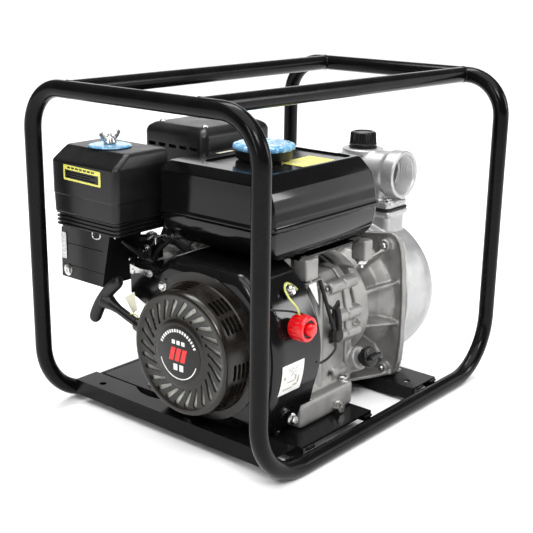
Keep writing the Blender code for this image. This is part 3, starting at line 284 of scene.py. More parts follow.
def smooth_path(points, count=6):
    """A Catmull-Rom curve through points."""
    points = [Vector(point) for point in points]
    padded = [points[0] * 2 - points[1], *points, points[-1] * 2 - points[-2]]
    path = []
    for a, b, c, d in zip(padded, padded[1:], padded[2:], padded[3:]):
        for k in range(count):
            t = k / count
            path.append(0.5 * (2 * b + (c - a) * t + (2 * a - 5 * b + 4 * c - d) * t * t
                               + (3 * b - a - 3 * c + d) * t ** 3))
    path.append(points[-1])
    return path


def cable(points, radius, sides=12, count=6):
    return sweep(smooth_path(points, count), radius, sides)


def arc(centre, radius, start, end, count):
    points = []
    for i in range(count + 1):
        turn = math.radians(start + (end - start) * i / count)
        points.append((centre[0] + radius * math.cos(turn), centre[1] + radius * math.sin(turn)))
    return points


def rounded_outline(u, v, radius, count=8):
    points = []
    centres = ((u[1] - radius, v[1] - radius, 0), (u[0] + radius, v[1] - radius, 90),
               (u[0] + radius, v[0] + radius, 180), (u[1] - radius, v[0] + radius, 270))
    for across, up, start in centres:
        points += arc((across, up), radius, start, start + 90, count)
    return points


def stacked(x, y, levels, radius, count=8):
    """Rounded rectangles stacked along Z, from (height, inset) levels.

    A level may end with a second inset that is used at the low end of X only.
    """
    loops = []
    for height, inset, *front in levels:
        low_x = x[0] + (front[0] if front else inset)
        outline = rounded_outline(
            (low_x, x[1] - inset), (y[0] + inset, y[1] - inset), max(radius - inset, 7.0), count)
        loops.append([(u, v, height) for u, v in outline])
    return loft(loops)


def tapered_stack(x, y, levels, radius):
    """Rounded rectangles stacked along Z, drawn in by one amount at +X and -Y and by another at -X and +Y.

    Each level is (height, inset at +X and -Y, inset at -X and +Y).
    """
    loops = []
    for height, near, far in levels:
        outline = rounded_outline(
            (x[0] + far, x[1] - near), (y[0] + near, y[1] - far), max(radius - (near + far) / 4, 6.0))
        loops.append([(u, v, height) for u, v in outline])
    return loft(loops)


def joined(shapes):
    """Several shapes in one bmesh, each still its own body."""
    whole = bmesh.new()
    for shape in shapes:
        mesh = bpy.data.meshes.new("part")
        shape.to_mesh(mesh)
        shape.free()
        whole.from_mesh(mesh)
        bpy.data.meshes.remove(mesh)
    return whole


def temporary(shape):
    mesh = bpy.data.meshes.new("work")
    shape.to_mesh(mesh)
    shape.free()
    item = bpy.data.objects.new("work", mesh)
    bpy.context.scene.collection.objects.link(item)
    return item


def settled(body, others=()):
    """The mesh of an object with its modifiers applied, as a bmesh; the objects are removed."""
    evaluated = body.evaluated_get(bpy.context.evaluated_depsgraph_get())
    result = bmesh.new()
    result.from_mesh(evaluated.to_mesh())
    for item in [body, *others]:
        mesh = item.data
        bpy.data.objects.remove(item, do_unlink=True)
        bpy.data.meshes.remove(mesh)
    return result


def combined(base, operation, tools):
    body = temporary(base)
    others = [temporary(tool) for tool in tools]
    for other in others:
        step = body.modifiers.new("step", "BOOLEAN")
        step.operation = operation
        step.solver = "EXACT"
        step.object = other
    return settled(body, others)


def united(base, *tools):
    return combined(base, "UNION", tools)


def cut(base, *tools):
    return combined(base, "DIFFERENCE", tools)


def cast(shape, voxel=1.6, rounds=6):
    """Melt a shape's bodies into one skin with the soft edges and fillets of a casting."""
    body = temporary(placed(shape, Matrix.Scale(MM, 4)))
    melt = body.modifiers.new("melt", "REMESH")
    melt.mode = "VOXEL"
    melt.voxel_size = voxel * MM
    ease = body.modifiers.new("ease", "SMOOTH")
    ease.iterations = rounds
    ease.factor = 0.5
    return placed(settled(body), Matrix.Scale(1 / MM, 4))


def along_cylinder(distance, offset):
    """A point in the (Y, Z) plane by its distance up the cylinder and its offset across it."""
    along = Vector((math.cos(CYLINDER_TILT), math.sin(CYLINDER_TILT)))
    point = Vector((CRANK_Y, CRANK_Z)) + along * distance + Vector((-along.y, along.x)) * offset
    return point.x, point.y


def tilted_prism(outline, low, high):
    return prism([along_cylinder(distance, offset) for distance, offset in outline], "X", low, high)


# Materials

def shader_nodes(name):
    material = bpy.data.materials.new(name)
    material.use_nodes = True
    tree = material.node_tree
    return material, tree, tree.nodes["Principled BSDF"]


def fill(node, values):
    """Set a node's inputs."""
    for key, value in values.items():
        node.inputs[key].default_value = value


def noise_node(tree, coords, scale, detail=4.0, roughness=0.55):
    node = tree.nodes.new("ShaderNodeTexNoise")
    fill(node, {"Scale": scale, "Detail": detail, "Roughness": roughness})
    tree.links.new(coords, node.inputs["Vector"])
    return node.outputs["Fac"]


def ranged(tree, value, low, high, start=0.3, end=0.7):
    node = tree.nodes.new("ShaderNodeMapRange")
    fill(node, {"From Min": start, "From Max": end, "To Min": low, "To Max": high})
    tree.links.new(value, node.inputs["Value"])
    return node.outputs["Result"]


def blended(tree, factor, first, second):
    """A colour between two, each a constant or a socket."""
    node = tree.nodes.new("ShaderNodeMix")
    node.data_type = "RGBA"
    tree.links.new(factor, node.inputs["Factor"])
    for key, colour in (("A", first), ("B", second)):
        socket = [s for s in node.inputs if s.name == key and s.type == "RGBA"][0]
        if isinstance(colour, tuple):
            socket.default_value = (*colour, 1.0)
        else:
            tree.links.new(colour, socket)
    return [s for s in node.outputs if s.type == "RGBA"][0]


def surface(name, dark, light, roughness, metallic=0.0, bump=(), coat=0.0, dust=0.0, mottle=60.0,
            shine=0.5):
    """A worn surface: two shades mixed by a broad noise, roughness to match, and bumps.

    bump holds (scale, strength, distance in mm) layers. dust is the share of a pale film on top faces.
    """
    material, tree, shader = shader_nodes(name)
    coords = tree.nodes.new("ShaderNodeTexCoord").outputs["Object"]
    broad = noise_node(tree, coords, mottle)
    colour = blended(tree, ranged(tree, broad, 0.0, 1.0), dark, light)
    if dust:
        normal = tree.nodes.new("ShaderNodeNewGeometry").outputs["Normal"]
        split = tree.nodes.new("ShaderNodeSeparateXYZ")
        tree.links.new(normal, split.inputs[0])
        top = ranged(tree, split.outputs["Z"], 0.0, dust, 0.5, 1.0)
        speck = ranged(tree, noise_node(tree, coords, mottle * 6), 0.2, 1.0, 0.4, 0.65)
        both = tree.nodes.new("ShaderNodeMath")
        both.operation = "MULTIPLY"
        tree.links.new(top, both.inputs[0])
        tree.links.new(speck, both.inputs[1])
        colour = blended(tree, both.outputs[0], colour, (0.35, 0.34, 0.32))
    tree.links.new(colour, shader.inputs["Base Color"])
    rough = ranged(tree, broad, roughness[0], roughness[1])
    tree.links.new(rough, shader.inputs["Roughness"])
    fill(shader, {"Metallic": metallic, "Specular IOR Level": shine, "Coat Weight": coat,
                  "Coat Roughness": 0.08})
    last = None
    for scale, strength, distance in bump:
        step = tree.nodes.new("ShaderNodeBump")
        fill(step, {"Strength": strength, "Distance": distance * MM})
        tree.links.new(noise_node(tree, coords, scale, 3.0), step.inputs["Height"])
        if last:
            tree.links.new(last, step.inputs["Normal"])
        last = step.outputs["Normal"]
    if last:
        tree.links.new(last, shader.inputs["Normal"])
    return material


LOOKS = {}


def grey(value):
    return value, value, value


def add_look(name, *values, **more):
    LOOKS[name] = surface(name, *values, **more)


add_look("frame_paint", (0.0018, 0.0018, 0.002), (0.004, 0.004, 0.0043), (0.13, 0.24),
         bump=((260, 0.08, 0.3), (1500, 0.04, 0.1)), dust=0.008, mottle=25, shine=0.11)
add_look(
    "gloss_black", grey(0.002), (0.004, 0.004, 0.0045), (0.10, 0.18),
    bump=((180, 0.05, 0.4), (900, 0.02, 0.1)), dust=0.01, mottle=18, shine=0.32)
add_look(
    "tank_paint", grey(0.0018), (0.0035, 0.0035, 0.004), (0.08, 0.16),
    bump=((120, 0.04, 0.5), (700, 0.02, 0.1)), dust=0.01, mottle=14, shine=0.26)
add_look(
    "plastic", (0.0035, 0.0035, 0.004), (0.007, 0.007, 0.0075), (0.28, 0.38),
    bump=((1400, 0.10, 0.12), (90, 0.05, 0.5)), dust=0.02, mottle=30, shine=0.30)
add_look("starter_paint", (0.0052, 0.0040, 0.0031), (0.0105, 0.0082, 0.0062), (0.17, 0.30),
         bump=((500, 0.10, 0.2), (2200, 0.06, 0.08)), dust=0.02, mottle=40, shine=0.36)
add_look("rubber", grey(0.004), grey(0.009), (0.45, 0.65), bump=((1200, 0.15, 0.15),), dust=0.04, shine=0.3)
add_look("nylon", (0.50, 0.52, 0.46), (0.66, 0.67, 0.60), (0.45, 0.6), bump=((700, 0.1, 0.2),))
add_look("cast_aluminium", (0.21, 0.206, 0.198), (0.33, 0.325, 0.315), (0.42, 0.58), 0.7,
         bump=((1100, 0.35, 0.25), (240, 0.18, 0.6)), mottle=45)
add_look(
    "pump_aluminium", (0.36, 0.36, 0.362), grey(0.50), (0.34, 0.48), 0.65,
    bump=((1600, 0.30, 0.18), (200, 0.12, 0.5)), mottle=32)
add_look("zinc", (0.42, 0.42, 0.43), (0.66, 0.65, 0.62), (0.16, 0.34), 1.0, bump=((900, 0.08, 0.1),),
         mottle=220)
add_look("dark_steel", (0.05, 0.045, 0.04), (0.12, 0.11, 0.10), (0.40, 0.60), 0.9, bump=((700, 0.2, 0.2),),
         mottle=90)
add_look(
    "cast_iron", (0.06, 0.058, 0.055), (0.12, 0.115, 0.11), (0.50, 0.70), 0.8,
    bump=((600, 0.4, 0.4), (1800, 0.3, 0.15)), mottle=80)
add_look("brass", (0.50, 0.36, 0.12), (0.68, 0.52, 0.22), (0.25, 0.40), 1.0, bump=((900, 0.1, 0.1),))
add_look("ceramic", (0.74, 0.74, 0.72), (0.84, 0.84, 0.82), (0.12, 0.22), coat=0.5)
add_look("red", (0.50, 0.001, 0.004), (0.74, 0.003, 0.008), (0.22, 0.34), bump=((500, 0.06, 0.2),),
         coat=0.2, mottle=70)
add_look("wire", (0.36, 0.40, 0.07), (0.52, 0.54, 0.16), (0.35, 0.5), bump=((800, 0.1, 0.1),))
add_look("white_print", (0.68, 0.68, 0.66), (0.78, 0.78, 0.76), (0.28, 0.4), mottle=90)
add_look("red_print", (0.56, 0.003, 0.006), (0.70, 0.006, 0.010), (0.28, 0.4), mottle=90)
add_look("yellow_print", (0.56, 0.53, 0.08), (0.70, 0.66, 0.16), (0.3, 0.45), mottle=90)
add_look("black_print", grey(0.003), grey(0.007), (0.25, 0.35), mottle=90, shine=0.3)
add_look("grey_print", (0.30, 0.27, 0.22), (0.42, 0.38, 0.32), (0.35, 0.5), mottle=90)
add_look("silver_print", grey(0.40), grey(0.62), (0.2, 0.4), 0.6, mottle=400)
add_look("pale_plastic", (0.52, 0.50, 0.38), (0.68, 0.66, 0.54), (0.35, 0.5))


def film():
    """Blue protective film, crinkled and creased, with paler streaks where a fine noise runs high."""
    material, tree, shader = shader_nodes("blue_film")
    coords = tree.nodes.new("ShaderNodeTexCoord").outputs["Object"]
    broad = noise_node(tree, coords, 110, 3.0, 0.5)
    base = blended(tree, ranged(tree, broad, 0.0, 1.0, 0.35, 0.68), (0.06, 0.245, 0.47), (0.21, 0.46, 0.67))
    fine = noise_node(tree, coords, 420, 4.0, 0.6)
    pale = ranged(tree, fine, 0.0, 0.55, 0.58, 0.72)
    tree.links.new(blended(tree, pale, base, (0.61, 0.77, 0.85)), shader.inputs["Base Color"])
    tree.links.new(ranged(tree, broad, 0.10, 0.26), shader.inputs["Roughness"])
    fill(shader, {"Coat Weight": 0.6, "Coat Roughness": 0.08})
    bump = tree.nodes.new("ShaderNodeBump")
    fill(bump, {"Strength": 0.6, "Distance": 0.8 * MM})
    tree.links.new(broad, bump.inputs["Height"])
    tree.links.new(bump.outputs["Normal"], shader.inputs["Normal"])
    return material


LOOKS["film"] = film()


# Pieces


def new_piece(name, shape, look, body="frame", replaces=(), angle=38, bevel=0.0):
    """Link a shape given in whole-machine millimetres as a piece that rides on a body."""
    bmesh.ops.remove_doubles(shape, verts=shape.verts, dist=0.001)
    bmesh.ops.scale(shape, verts=shape.verts, vec=(MM, MM, MM))
    bmesh.ops.recalc_face_normals(shape, faces=shape.faces)
    mesh = bpy.data.meshes.new(name)
    shape.to_mesh(mesh)
    shape.free()
    mesh.shade_smooth()
    mesh.set_sharp_from_angle(angle=math.radians(angle))
    for key in (look if isinstance(look, tuple) else (look,)):
        mesh.materials.append(LOOKS[key])
    item = bpy.data.objects.new(name, mesh)
    bpy.context.scene.collection.objects.link(item)
    if bevel:
        soften(item, bevel)
    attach(item, body)
    if replaces:
        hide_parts(*replaces)


def fittings(name, parts):
    """Bright screws, nuts and other small metal parts, joined into one piece on the frame."""
    new_piece(name, joined(parts), "zinc")


def casting(node, shape, voxel, rounds, look="cast_aluminium"):
    """A shape melted into the casting that stands for a CAD node."""
    new_piece(node + "_casting", cast(shape, voxel, rounds), look, replaces=(node,), angle=60)


def soften(item, width, segments=3):
    """Round an object's hard edges."""
    step = item.modifiers.new("soft_edges", "BEVEL")
    step.width = width * MM
    step.segments = segments
    step.limit_method = "ANGLE"
    step.angle_limit = math.radians(38)
    step.use_clamp_overlap = True


def dress(node, look, bevel=0.0):
    """Give a CAD node its finish and, where its edges show, soft edges."""
    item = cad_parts[node]
    for place in item.material_slots:
        place.material = LOOKS[look]
    if not item.material_slots:
        item.data.materials.append(LOOKS[look])
    if bevel:
        soften(item, bevel, 2)


def paint(shape, index):
    """Give every face of a shape one material index."""
    for face in shape.faces:
        face.material_index = index
    return shape


def hex_bolt(at, way, size=5.0, head=4.5, washer=True):
    """A flanged hexagon head standing on a surface."""
    profile = [(0.6, size), (head * 0.82, size), (head, size * 0.84), (head, size * 0.5),
               (head - 0.5, size * 0.4)]
    parts = [aimed_turned(profile, at, way, 6)]
    if washer:
        rim = size * 1.45
        parts.append(aimed_turned([(-0.4, rim), (1.0, rim), (1.7, rim * 0.86)], at, way, 28))
    return joined(parts)


def pan_screw(at, way, size=4.0, head=2.6):
    profile = [(-0.3, size), (head * 0.5, size * 0.95), (head, size * 0.6), (head, size * 0.25),
               (head - 1.2, size * 0.18)]
    return aimed_turned(profile, at, way, 24)


# Carrying frame

def hoop(name, side):
    """An end hoop, drawn smooth and run on to the middle of the bottom rails."""
    x = side * FRAME_X
    corners = [(0, -FRAME_Y, TUBE_R), (x, -FRAME_Y, TUBE_R), (x, -FRAME_Y, TOP_Z), (x, FRAME_Y, TOP_Z),
               (x, FRAME_Y, TUBE_R), (0, FRAME_Y, TUBE_R)]
    path = bent_path(corners, (BOTTOM_BEND, TOP_BEND, TOP_BEND, BOTTOM_BEND))
    new_piece(name + "_tube", sweep(path, TUBE_R, 32), "frame_paint", replaces=(name,))


def rail_ends(node, near):
    """The places where a top rail's centreline meets the two crossbars."""
    low, high = span(node)
    lean = near * (high.y - low.y - 2 * TUBE_R)
    start = (high.y if lean < 0 else low.y) + (-TUBE_R if lean < 0 else TUBE_R)
    return Vector((-FRAME_X, start, TOP_Z)), Vector((FRAME_X, start + lean, TOP_Z))


def weld_bead(path, radius):
    """A lumpy bead of weld along a path."""
    radii = [radius * (0.85 + 0.35 * abs(math.sin(i * 1.7)) + 0.1 * random.random())
             for i in range(len(path))]
    return sweep(path, radii, 8)


def top_rail(node, near):
    """A top rail, saddled and welded into the hoops' crossbars."""
    start, end = rail_ends(node, near)
    beads = []
    for at, side in ((start, 1), (end, -1)):
        ring = []
        for i in range(33):
            turn = 2 * math.pi * i / 32
            reach = TUBE_R * abs(math.cos(turn)) + 0.5
            spoke = Vector((side * reach, TUBE_R * math.cos(turn), (TUBE_R - 0.5) * math.sin(turn)))
            ring.append(at + spoke)
        beads.append(weld_bead(ring, 1.2))
    way = (end - start).normalized()
    tube = sweep([start + way * (TUBE_R - 6), end - way * (TUBE_R - 6)], TUBE_R - 0.15, 32)
    new_piece(node + "_tube", joined([tube, *beads]), "frame_paint", replaces=(node,))


def base_welds():
    """Weld beads where the cross members meet the bottom rails."""
    beads = []
    for node in ("recoil_end_channel", "engine_plate", "pump_end_channel"):
        low, high = span(node)
        for side in (-1, 1):
            y = side * (FRAME_Y - TUBE_R * 0.72)
            for start, end in ((low.x + 5, low.x + 20), (high.x - 20, high.x - 5)):
                z = min(high.z, 2 * TUBE_R) + 0.2
                path = [(start + (end - start) * i / 9, y + random.uniform(-0.4, 0.4), z)
                        for i in range(10)]
                beads.append(weld_bead(path, 1.6))
    new_piece("base_weld_beads", joined(beads), "frame_paint")


def feet_bolts():
    """The bolts that hold the engine's near feet and the pump bracket to the base."""
    bolts = [hex_bolt((x, -134, FEET_HIGH), UP, 6.5, 6) for x in (-24, -104)]
    plate = span("engine_plate")[1].z
    bolts += [hex_bolt((x, y, plate), UP, 5.5, 5) for x, y in ((-148, -120), (-148, 96), (-34, 96))]
    channel = span("pump_end_channel")[1].z
    bolts += [hex_bolt((x, y, channel), UP, 6, 5) for x, y in ((126, -121), (126, 34))]
    fittings("base_bolts", bolts)


# Engine block

def crankcase():
    """The crankcase casting: body, feet, bosses, ribs and the finned barrel."""
    front, back = -108.0, CASE_HIGH.x
    top = 204.0
    outline = [(-128, 41), (56, 41), (56, 150), (10, top), (-104, top), (-120, 188), (-128, 150)]
    parts = [prism(outline, "X", front, back)]
    parts += [
        soft_box((CASE_LOW.x, back - 1), y, (FEET_LOW, FEET_HIGH), 4)
        for y in ((CASE_LOW.y, -100), (18, 60))]
    root, tip, fin, pitch = 40, 47, 3.4, 8.6
    fins = [76 + i * pitch for i in range(7)]
    comb = [(50, -root), (50, root)]
    for low in fins:
        comb += [(low, root), (low, tip), (low + fin, tip), (low + fin, root)]
    comb += [(136, root), (136, -root)]
    for low in reversed(fins):
        comb += [(low + fin, -root), (low + fin, -tip), (low, -tip), (low, -root)]
    parts.append(tilted_prism(comb, front + 1, back - 1))
    for y, z in CASE_BOLTS:
        parts.append(rod("X", (y, z), BOSS_FACE, back, 9, 24))
        parts.append(soft_box((BOSS_FACE, back), (y, y + 14), about(z, 4), 2))
    parts.append(prism([(-131, 60), (-131, 64), (-60, 64), (-60, 60)], "X", front + 4, back))
    parts.append(soft_box((-72, -64), (-131, -100), (58, 196), 2))
    parts.append(soft_box((-96, -60), (-126, -104), (198, 207.5), 3))
    shape = united(parts[0], *parts[1:])
    holes = [rod("X", place, BOSS_FACE - 4, BOSS_FACE + 6, 3.6, 16) for place in CASE_BOLTS]
    casting("crankcase", cut(shape, joined(holes)), 1.7, 4)


def side_cover():
    """The drive-side cover: a bulged plate with bolt bosses, ribs and the oil filler."""
    low = COVER_LOW.x
    outline = [(-131, 39), (58, 39), (58, 151), (11, 206), (-105, 206), (-122, 190), (-131, 151)]
    parts = [prism(outline, "X", low, -1)]
    inner = [(-122, 48), (48, 48), (48, 146), (6, 196), (-98, 196), (-112, 184), (-121, 148)]
    parts.append(prism(inner, "X", low, 8))
    parts.append(crank_turned([(-2, 86), (10, 82), (17, 77), (COVER_HIGH.x - 0.3, 73)], 64))
    for y, z in COVER_BOLTS:
        parts.append(rod("X", (y, z), low + 0.5, 15, 9, 24))
    for turn in range(20, 380, 40):
        parts.append(crank_rib([(6, 60), (6, 98), (20.6, 72), (20.6, 60)], 2, turn))
    parts.append(aimed_turned([(0, 19), (20, 17), (27, 16), (28.6, 16)], (4, -116, 74), FILLER_WAY))
    shape = united(parts[0], *parts[1:])
    casting("side_cover", shape, 1.6, 4)
    bolts = [hex_bolt((15, y, z), TO_PUMP, 4.6, 4.5, False) for y, z in COVER_BOLTS]
    bolts += [hex_bolt((BOSS_FACE, y, z), TO_STARTER, 4.2, 3.5, False) for y, z in CASE_BOLTS[1:3]]
    fittings("cover_bolts", bolts)


def oil_plug():
    """The oil filler's plug with its moulded finger grip."""
    start = Vector((4, -122, 76)) + FILLER_WAY * 30
    body = aimed_turned([(-8, 7), (2.8, 7), (2.8, 13.4), (4, 14.4), (8, 14.4), (10.6, 13.2), (11.6, 10)],
                        start, FILLER_WAY, 48)
    grip = aimed(soft_box((-12.5, 12.5), (-3.2, 3.2), (8, 20), 2.4), start, FILLER_WAY)
    new_piece("oil_plug_body", cast(joined([body, grip]), 0.8, 3), "plastic", "oil_plug",
              ("oil_filler_plug",), angle=60)


# Pump

def thread(name, starts, pitch, radii, axis, centre, steps):
    """A port's screw thread as rings, from the radii of its root and its crest."""
    root, crest = radii
    rings = [turned([(at, root), (at + pitch / 2, crest), (at + pitch, root)], axis, centre, steps,
                    hollow=True) for at in starts]
    new_piece(name, joined(rings), "pump_aluminium")


def joint_flange_outline(inset=0.0):
    """The (Y, Z) outline of the flanges between bracket and pump: a drum squared out to four lobes."""
    half = [(39, 228.5), (51, 230), (78, 234), (86, 231), (92, 222), (96, 210), (100, 180), (102, 142),
            (102.5, 110), (102, 80), (99, 50), (95, 34), (90, 28), (84, 26.5), (66, 26.5), (61, 31),
            (57, 42), (40, 35.5), (20, 29.8)]
    points = [(CRANK_Y - u, z) for u, z in half]
    points += [(CRANK_Y + u, z) for u, z in reversed(half)]
    shrunk = []
    for y, z in points:
        out = Vector((y - CRANK_Y, z - CRANK_Z))
        out *= 1 - inset / out.length
        shrunk.append((CRANK_Y + out.x, CRANK_Z + out.y))
    return shrunk


def bracket_base():
    """The bracket's foot plate, widening from the engine towards the pump."""
    return prism([(30, -98), (BRACKET_HIGH.x - 1, -134), (BRACKET_HIGH.x - 1, 48), (30, 12)], "Z", 26.5, 31)


def pump_bracket():
    """The adapter between engine and pump: a hub, a deep ribbed dish and a flange with four lobes."""
    low, high = BRACKET_LOW.x, BRACKET_HIGH.x
    body = crank_turned([(low, 78), (47, 80), (50, 79), (51.5, 76), (53, 63), (70, 64), (88, 70), (94, 78),
                         (99, 84), (high, 84)], 96)
    rim = cut(prism(joint_flange_outline(), "X", 98, 103), prism(joint_flange_outline(3.6), "X", 97, 104))
    parts = [prism(joint_flange_outline(), "X", 102, high), bracket_base(), rim]
    for turn in (132, 160, 196, 231, 48, 20, -16, -51, 90, -90):
        reach = 112 if turn in (132, 231, 48, -51) else 99
        parts.append(crank_rib([(30, 55), (30, 77), (49, 80), (103, reach), (104, 55)], 1.9, turn))
    for y, z in JOINT_LOBES:
        parts.append(rod("X", (y, z), 92, high - 1, 8.5, 28))
    parts += [soft_box((low + 0.2, 36), (y, y + 22), (z, z + 22), 5) for y, z in BRACKET_PADS]
    shape = body
    for part in parts:
        shape = united(shape, part)
    bore = crank_turned([(high - 6, 60), (high + 2, 60)], 48)
    for tool in [bore] + [rod("X", place, 88, 96, 4.4, 16) for place in JOINT_LOBES]:
        shape = cut(shape, tool)
    casting("pump_bracket", shape, 1.6, 3)
    bolts = [hex_bolt((36, y + 11, z + 11), TO_PUMP, 5, 4.5) for y, z in BRACKET_PADS]
    bolts += [pan_screw((92.5, *place), TO_STARTER, 4.4, 3) for place in JOINT_LOBES]
    fittings("bracket_bolts", bolts)


def pump_casing():
    """The pump's drum with its suction boss, discharge neck and lobed flange."""
    low, high = CASING_LOW.x, CASING_HIGH.x
    profile = [(low, PUMP_R), (160, PUMP_R), (170, PUMP_R - 1.4), (180, 100), (189, 94), (196, 85),
               (200.5, 75), (203, 64), (204.5, 52), (206, 45), (209, 40.5), (213, 38.5), (high - 2, 38),
               (high - 0.4, 37), (high, 36)]
    parts = [stacked(about(ELBOW_X, 24), (-95, -7), [(190, -5), (224, -0.5), (CASING_HIGH.z, 0)], 10, 6)]
    parts.append(prism(joint_flange_outline(2.4), "X", low, low + 5.4))
    parts.append(rod("Z", (162, CRANK_Y), 22, 60, 14, 32))
    for y, z in JOINT_LOBES:
        parts.append(rod("X", (y, z), low, 124, 9, 28))
    parts.append(soft_box(about(ELBOW_X, 26), (-98, -4), (CASING_HIGH.z - 9, CASING_HIGH.z), 4, 3))
    shape = united(crank_turned(profile, 128), *parts)
    bore = crank_turned([(200, 27), (high - 2, 27), (high + 2, 28.4), (high + 4, 28.4)], 48)
    drain = rod("Z", (162, CRANK_Y), 18, 30, 6, 16)
    casting("pump_casing", cut(shape, bore, drain), 1.6, 4, "pump_aluminium")
    starts = [high - 3 - i * 2.3 for i in range(9)]
    thread("suction_thread", starts, 2.3, (27.4, 25.9), "X", (CRANK_Y, CRANK_Z), 48)
    bolts = [hex_bolt((124.5, *place), TO_PUMP, 5, 4.5) for place in JOINT_LOBES]
    fittings("casing_bolts", bolts)


def discharge():
    """The discharge elbow casting with its threaded port, flange and priming neck."""
    base = ELBOW_LOW.z
    axis = (ELBOW_X, PORT_Z)
    front = ELBOW_LOW.y
    barrel = turned([(front, 32.6), (front + 1, 33.4), (front + 19, 33.4), (front + 22, 31.4),
                     (front + 26, 30.2), (-14, 29.6), (-6, 26), (-1, 19), (0, 12)], "Y", axis, 72)
    flange = soft_box(about(ELBOW_X, 25), (-96, -6), (base, base + 10), 6, 3, "Z")
    riser = stacked(about(ELBOW_X, 22), (-82, -12), [(base + 6, -1.5), (PORT_Z - 16, 1), (PORT_Z, 6)], 10)
    centre = (PRIMING.x, PRIMING.y)
    neck = turned([(PORT_Z, 0), (PORT_Z, 26), (322, 24.5), (326, 25.5), (327.5, 29.6), (333.5, 29.6),
                   (334.8, 28.6), (335, 0)], "Z", centre, 64)
    lugs = [soft_box(about(ELBOW_X + sx * 24, 9), about(y, 10), (base, base + 11), 5)
            for sx in (-0.55, 0.55) for y in (-88, -14)]
    shape = united(barrel, flange, riser, neck, *lugs)
    port = turned([(front - 4, PORT_R + 1.4), (front + 1, PORT_R + 1.4), (front + 3, PORT_R),
                   (front + 26, PORT_R), (front + 26, 23.5), (-20, 23)], "Y", axis, 64)
    casting("discharge_elbow", cut(shape, port), 1.25, 4, "pump_aluminium")
    starts = [front + 3 + i * 2.6 for i in range(8)]
    thread("discharge_thread", starts, 2.6, (PORT_R + 0.3, PORT_R - 1.1), "Y", axis, 56)
    bolts = [hex_bolt((ELBOW_X + sx * 15, y, base + 10.5), UP, 4.4, 4) for sx in (-1, 1)
             for y in (-90, -11)]
    fittings("elbow_bolts", bolts)


def priming_plug():
    """The black priming plug with fine upright ribs round its rim."""
    low, high = span("priming_cap")[0].z + 16, PRIMING.z * 2 - span("priming_cap")[0].z
    loops = []
    levels = ((low, 19.0, 0), (low + 1.5, 19.6, 0), (low + 3, 19.6, 0.25), (low + 4, 18.6, 0.6),
              (high - 2.6, 17.8, 0.6), (high - 1, 17.0, 0.3), (high, 15.6, 0), (high, 12.6, 0),
              (high - 1.2, 11.8, 0))
    count = 120
    for z, radius, depth in levels:
        loop = []
        for i in range(count):
            turn = 2 * math.pi * i / count
            reach = radius + depth * math.cos(30 * turn)
            loop.append((PRIMING.x + reach * math.cos(turn), PRIMING.y + reach * math.sin(turn), z))
        loops.append(loop)
    new_piece("priming_plug_body", loft(loops), "plastic", "priming_plug", ("priming_cap",), angle=30)


# Blower housing and starter

def housing_outline(inset, lean):
    """The blower housing's outline: a scroll round the flywheel and a duct to the cylinder."""
    radius = HOUSING_R - inset
    bottom = HOUSING_LOW.z + inset
    foot = math.degrees(math.asin((CRANK_Z - bottom) / radius))
    points = [(-138 + inset, bottom), (-146 + inset, 58), (-151 + inset, 82)]
    points += [(y, min(z, HOUSING_TOP - inset)) for y, z in arc((CRANK_Y, CRANK_Z), radius, 200, 44, 44)]
    points += [
        (DUCT_Y - 6 - lean, 216 - lean), (DUCT_Y - 2 - lean, 214 - lean), (DUCT_Y - lean, 210 - lean),
        (DUCT_Y - lean, 174 + lean), (DUCT_Y - 4 - lean, 171 + lean), (66 - inset, 162)]
    points += arc((CRANK_Y, CRANK_Z), radius, -4, -foot, 14)
    return points


def blower_housing():
    """The fan shroud, a pressed shell with a rolled front edge."""
    front = HOUSING_LOW.x + 2.2
    back = HOUSING_HIGH.x
    outer = [(0, 15, 1.5), (0.6, 12.5, 0.9), (2.2, 9, 0.4), (4.4, 6, 0.1), (7.6, 3.2, 0.1), (11, 1.5, 1),
             (15, 0.5, 3), (20, 0, 5.5), (back - front - 3, 0, 5.5), (back - front - 1.5, -0.4, 5),
             (back - front, 0, 5.5)]
    inner = [(back - front, 2.5, 8), (20, 2.5, 8), (12, 4, 4), (6, 8, 3), (2.5, 15, 4)]
    loops = [[(front + x, y, z) for y, z in housing_outline(inset, lean)] for x, inset, lean in outer
             + inner]
    intake = crank_turned([(front - 5, 72), (front + 9, 72)], 48)
    notches = [box((-129, back + 5), y, (20, 60)) for y in ((-156, -98), (16, 70))]
    shape = cut(loft(loops), intake, *notches)
    new_piece("blower_housing_shell", shape, "gloss_black", replaces=("blower_housing",), angle=30)


def cylinder_shroud():
    """The sheet guide over the cylinder, between the blower housing and the tank."""
    sheet = soft_box((-96, 4), (50, 53), (190, 230), 1.4, 3)
    lip = soft_box((-96, 4), (36, 53), (227, 230), 1.4, 3)
    ridge = soft_box((-70, -12), (46.5, 52), (205, 211), 2.4, 3)
    new_piece("cylinder_shroud", united(sheet, lip, ridge), "gloss_black", angle=30)
    bits = [hex_bolt((-80, 50, 218), TO_NEAR, 4.4, 4), hex_bolt((-34, 50, 219), TO_NEAR, 4.4, 4),
            soft_box((-62, -50), (44, 46), (212, 224), 0.9, 2),
            cable([(-92, 47, 204), (-74, 43, 214), (-52, 42, 210), (-30, 45, 220), (-12, 47, 216)], 1.2, 8)]
    fittings("cylinder_shroud_fittings", bits)


def slot_outline(inner, outer, narrow, wide, middle_turn, lean):
    """A slanted slot with round ends, in the plane of the starter's face."""
    points = []
    ends = ((inner, narrow, middle_turn - lean, 90), (outer, wide, middle_turn, -90))
    for radius, half, turn, start in ends:
        centre = Vector((math.cos(math.radians(turn)), math.sin(math.radians(turn)))) * radius
        heading = math.radians(turn)
        for k in range(7):
            swing = heading + math.radians(start + 180 * k / 6)
            y = CRANK_Y + centre.x + half * math.cos(swing)
            z = CRANK_Z + centre.y + half * math.sin(swing)
            points.append((y, z))
    return points


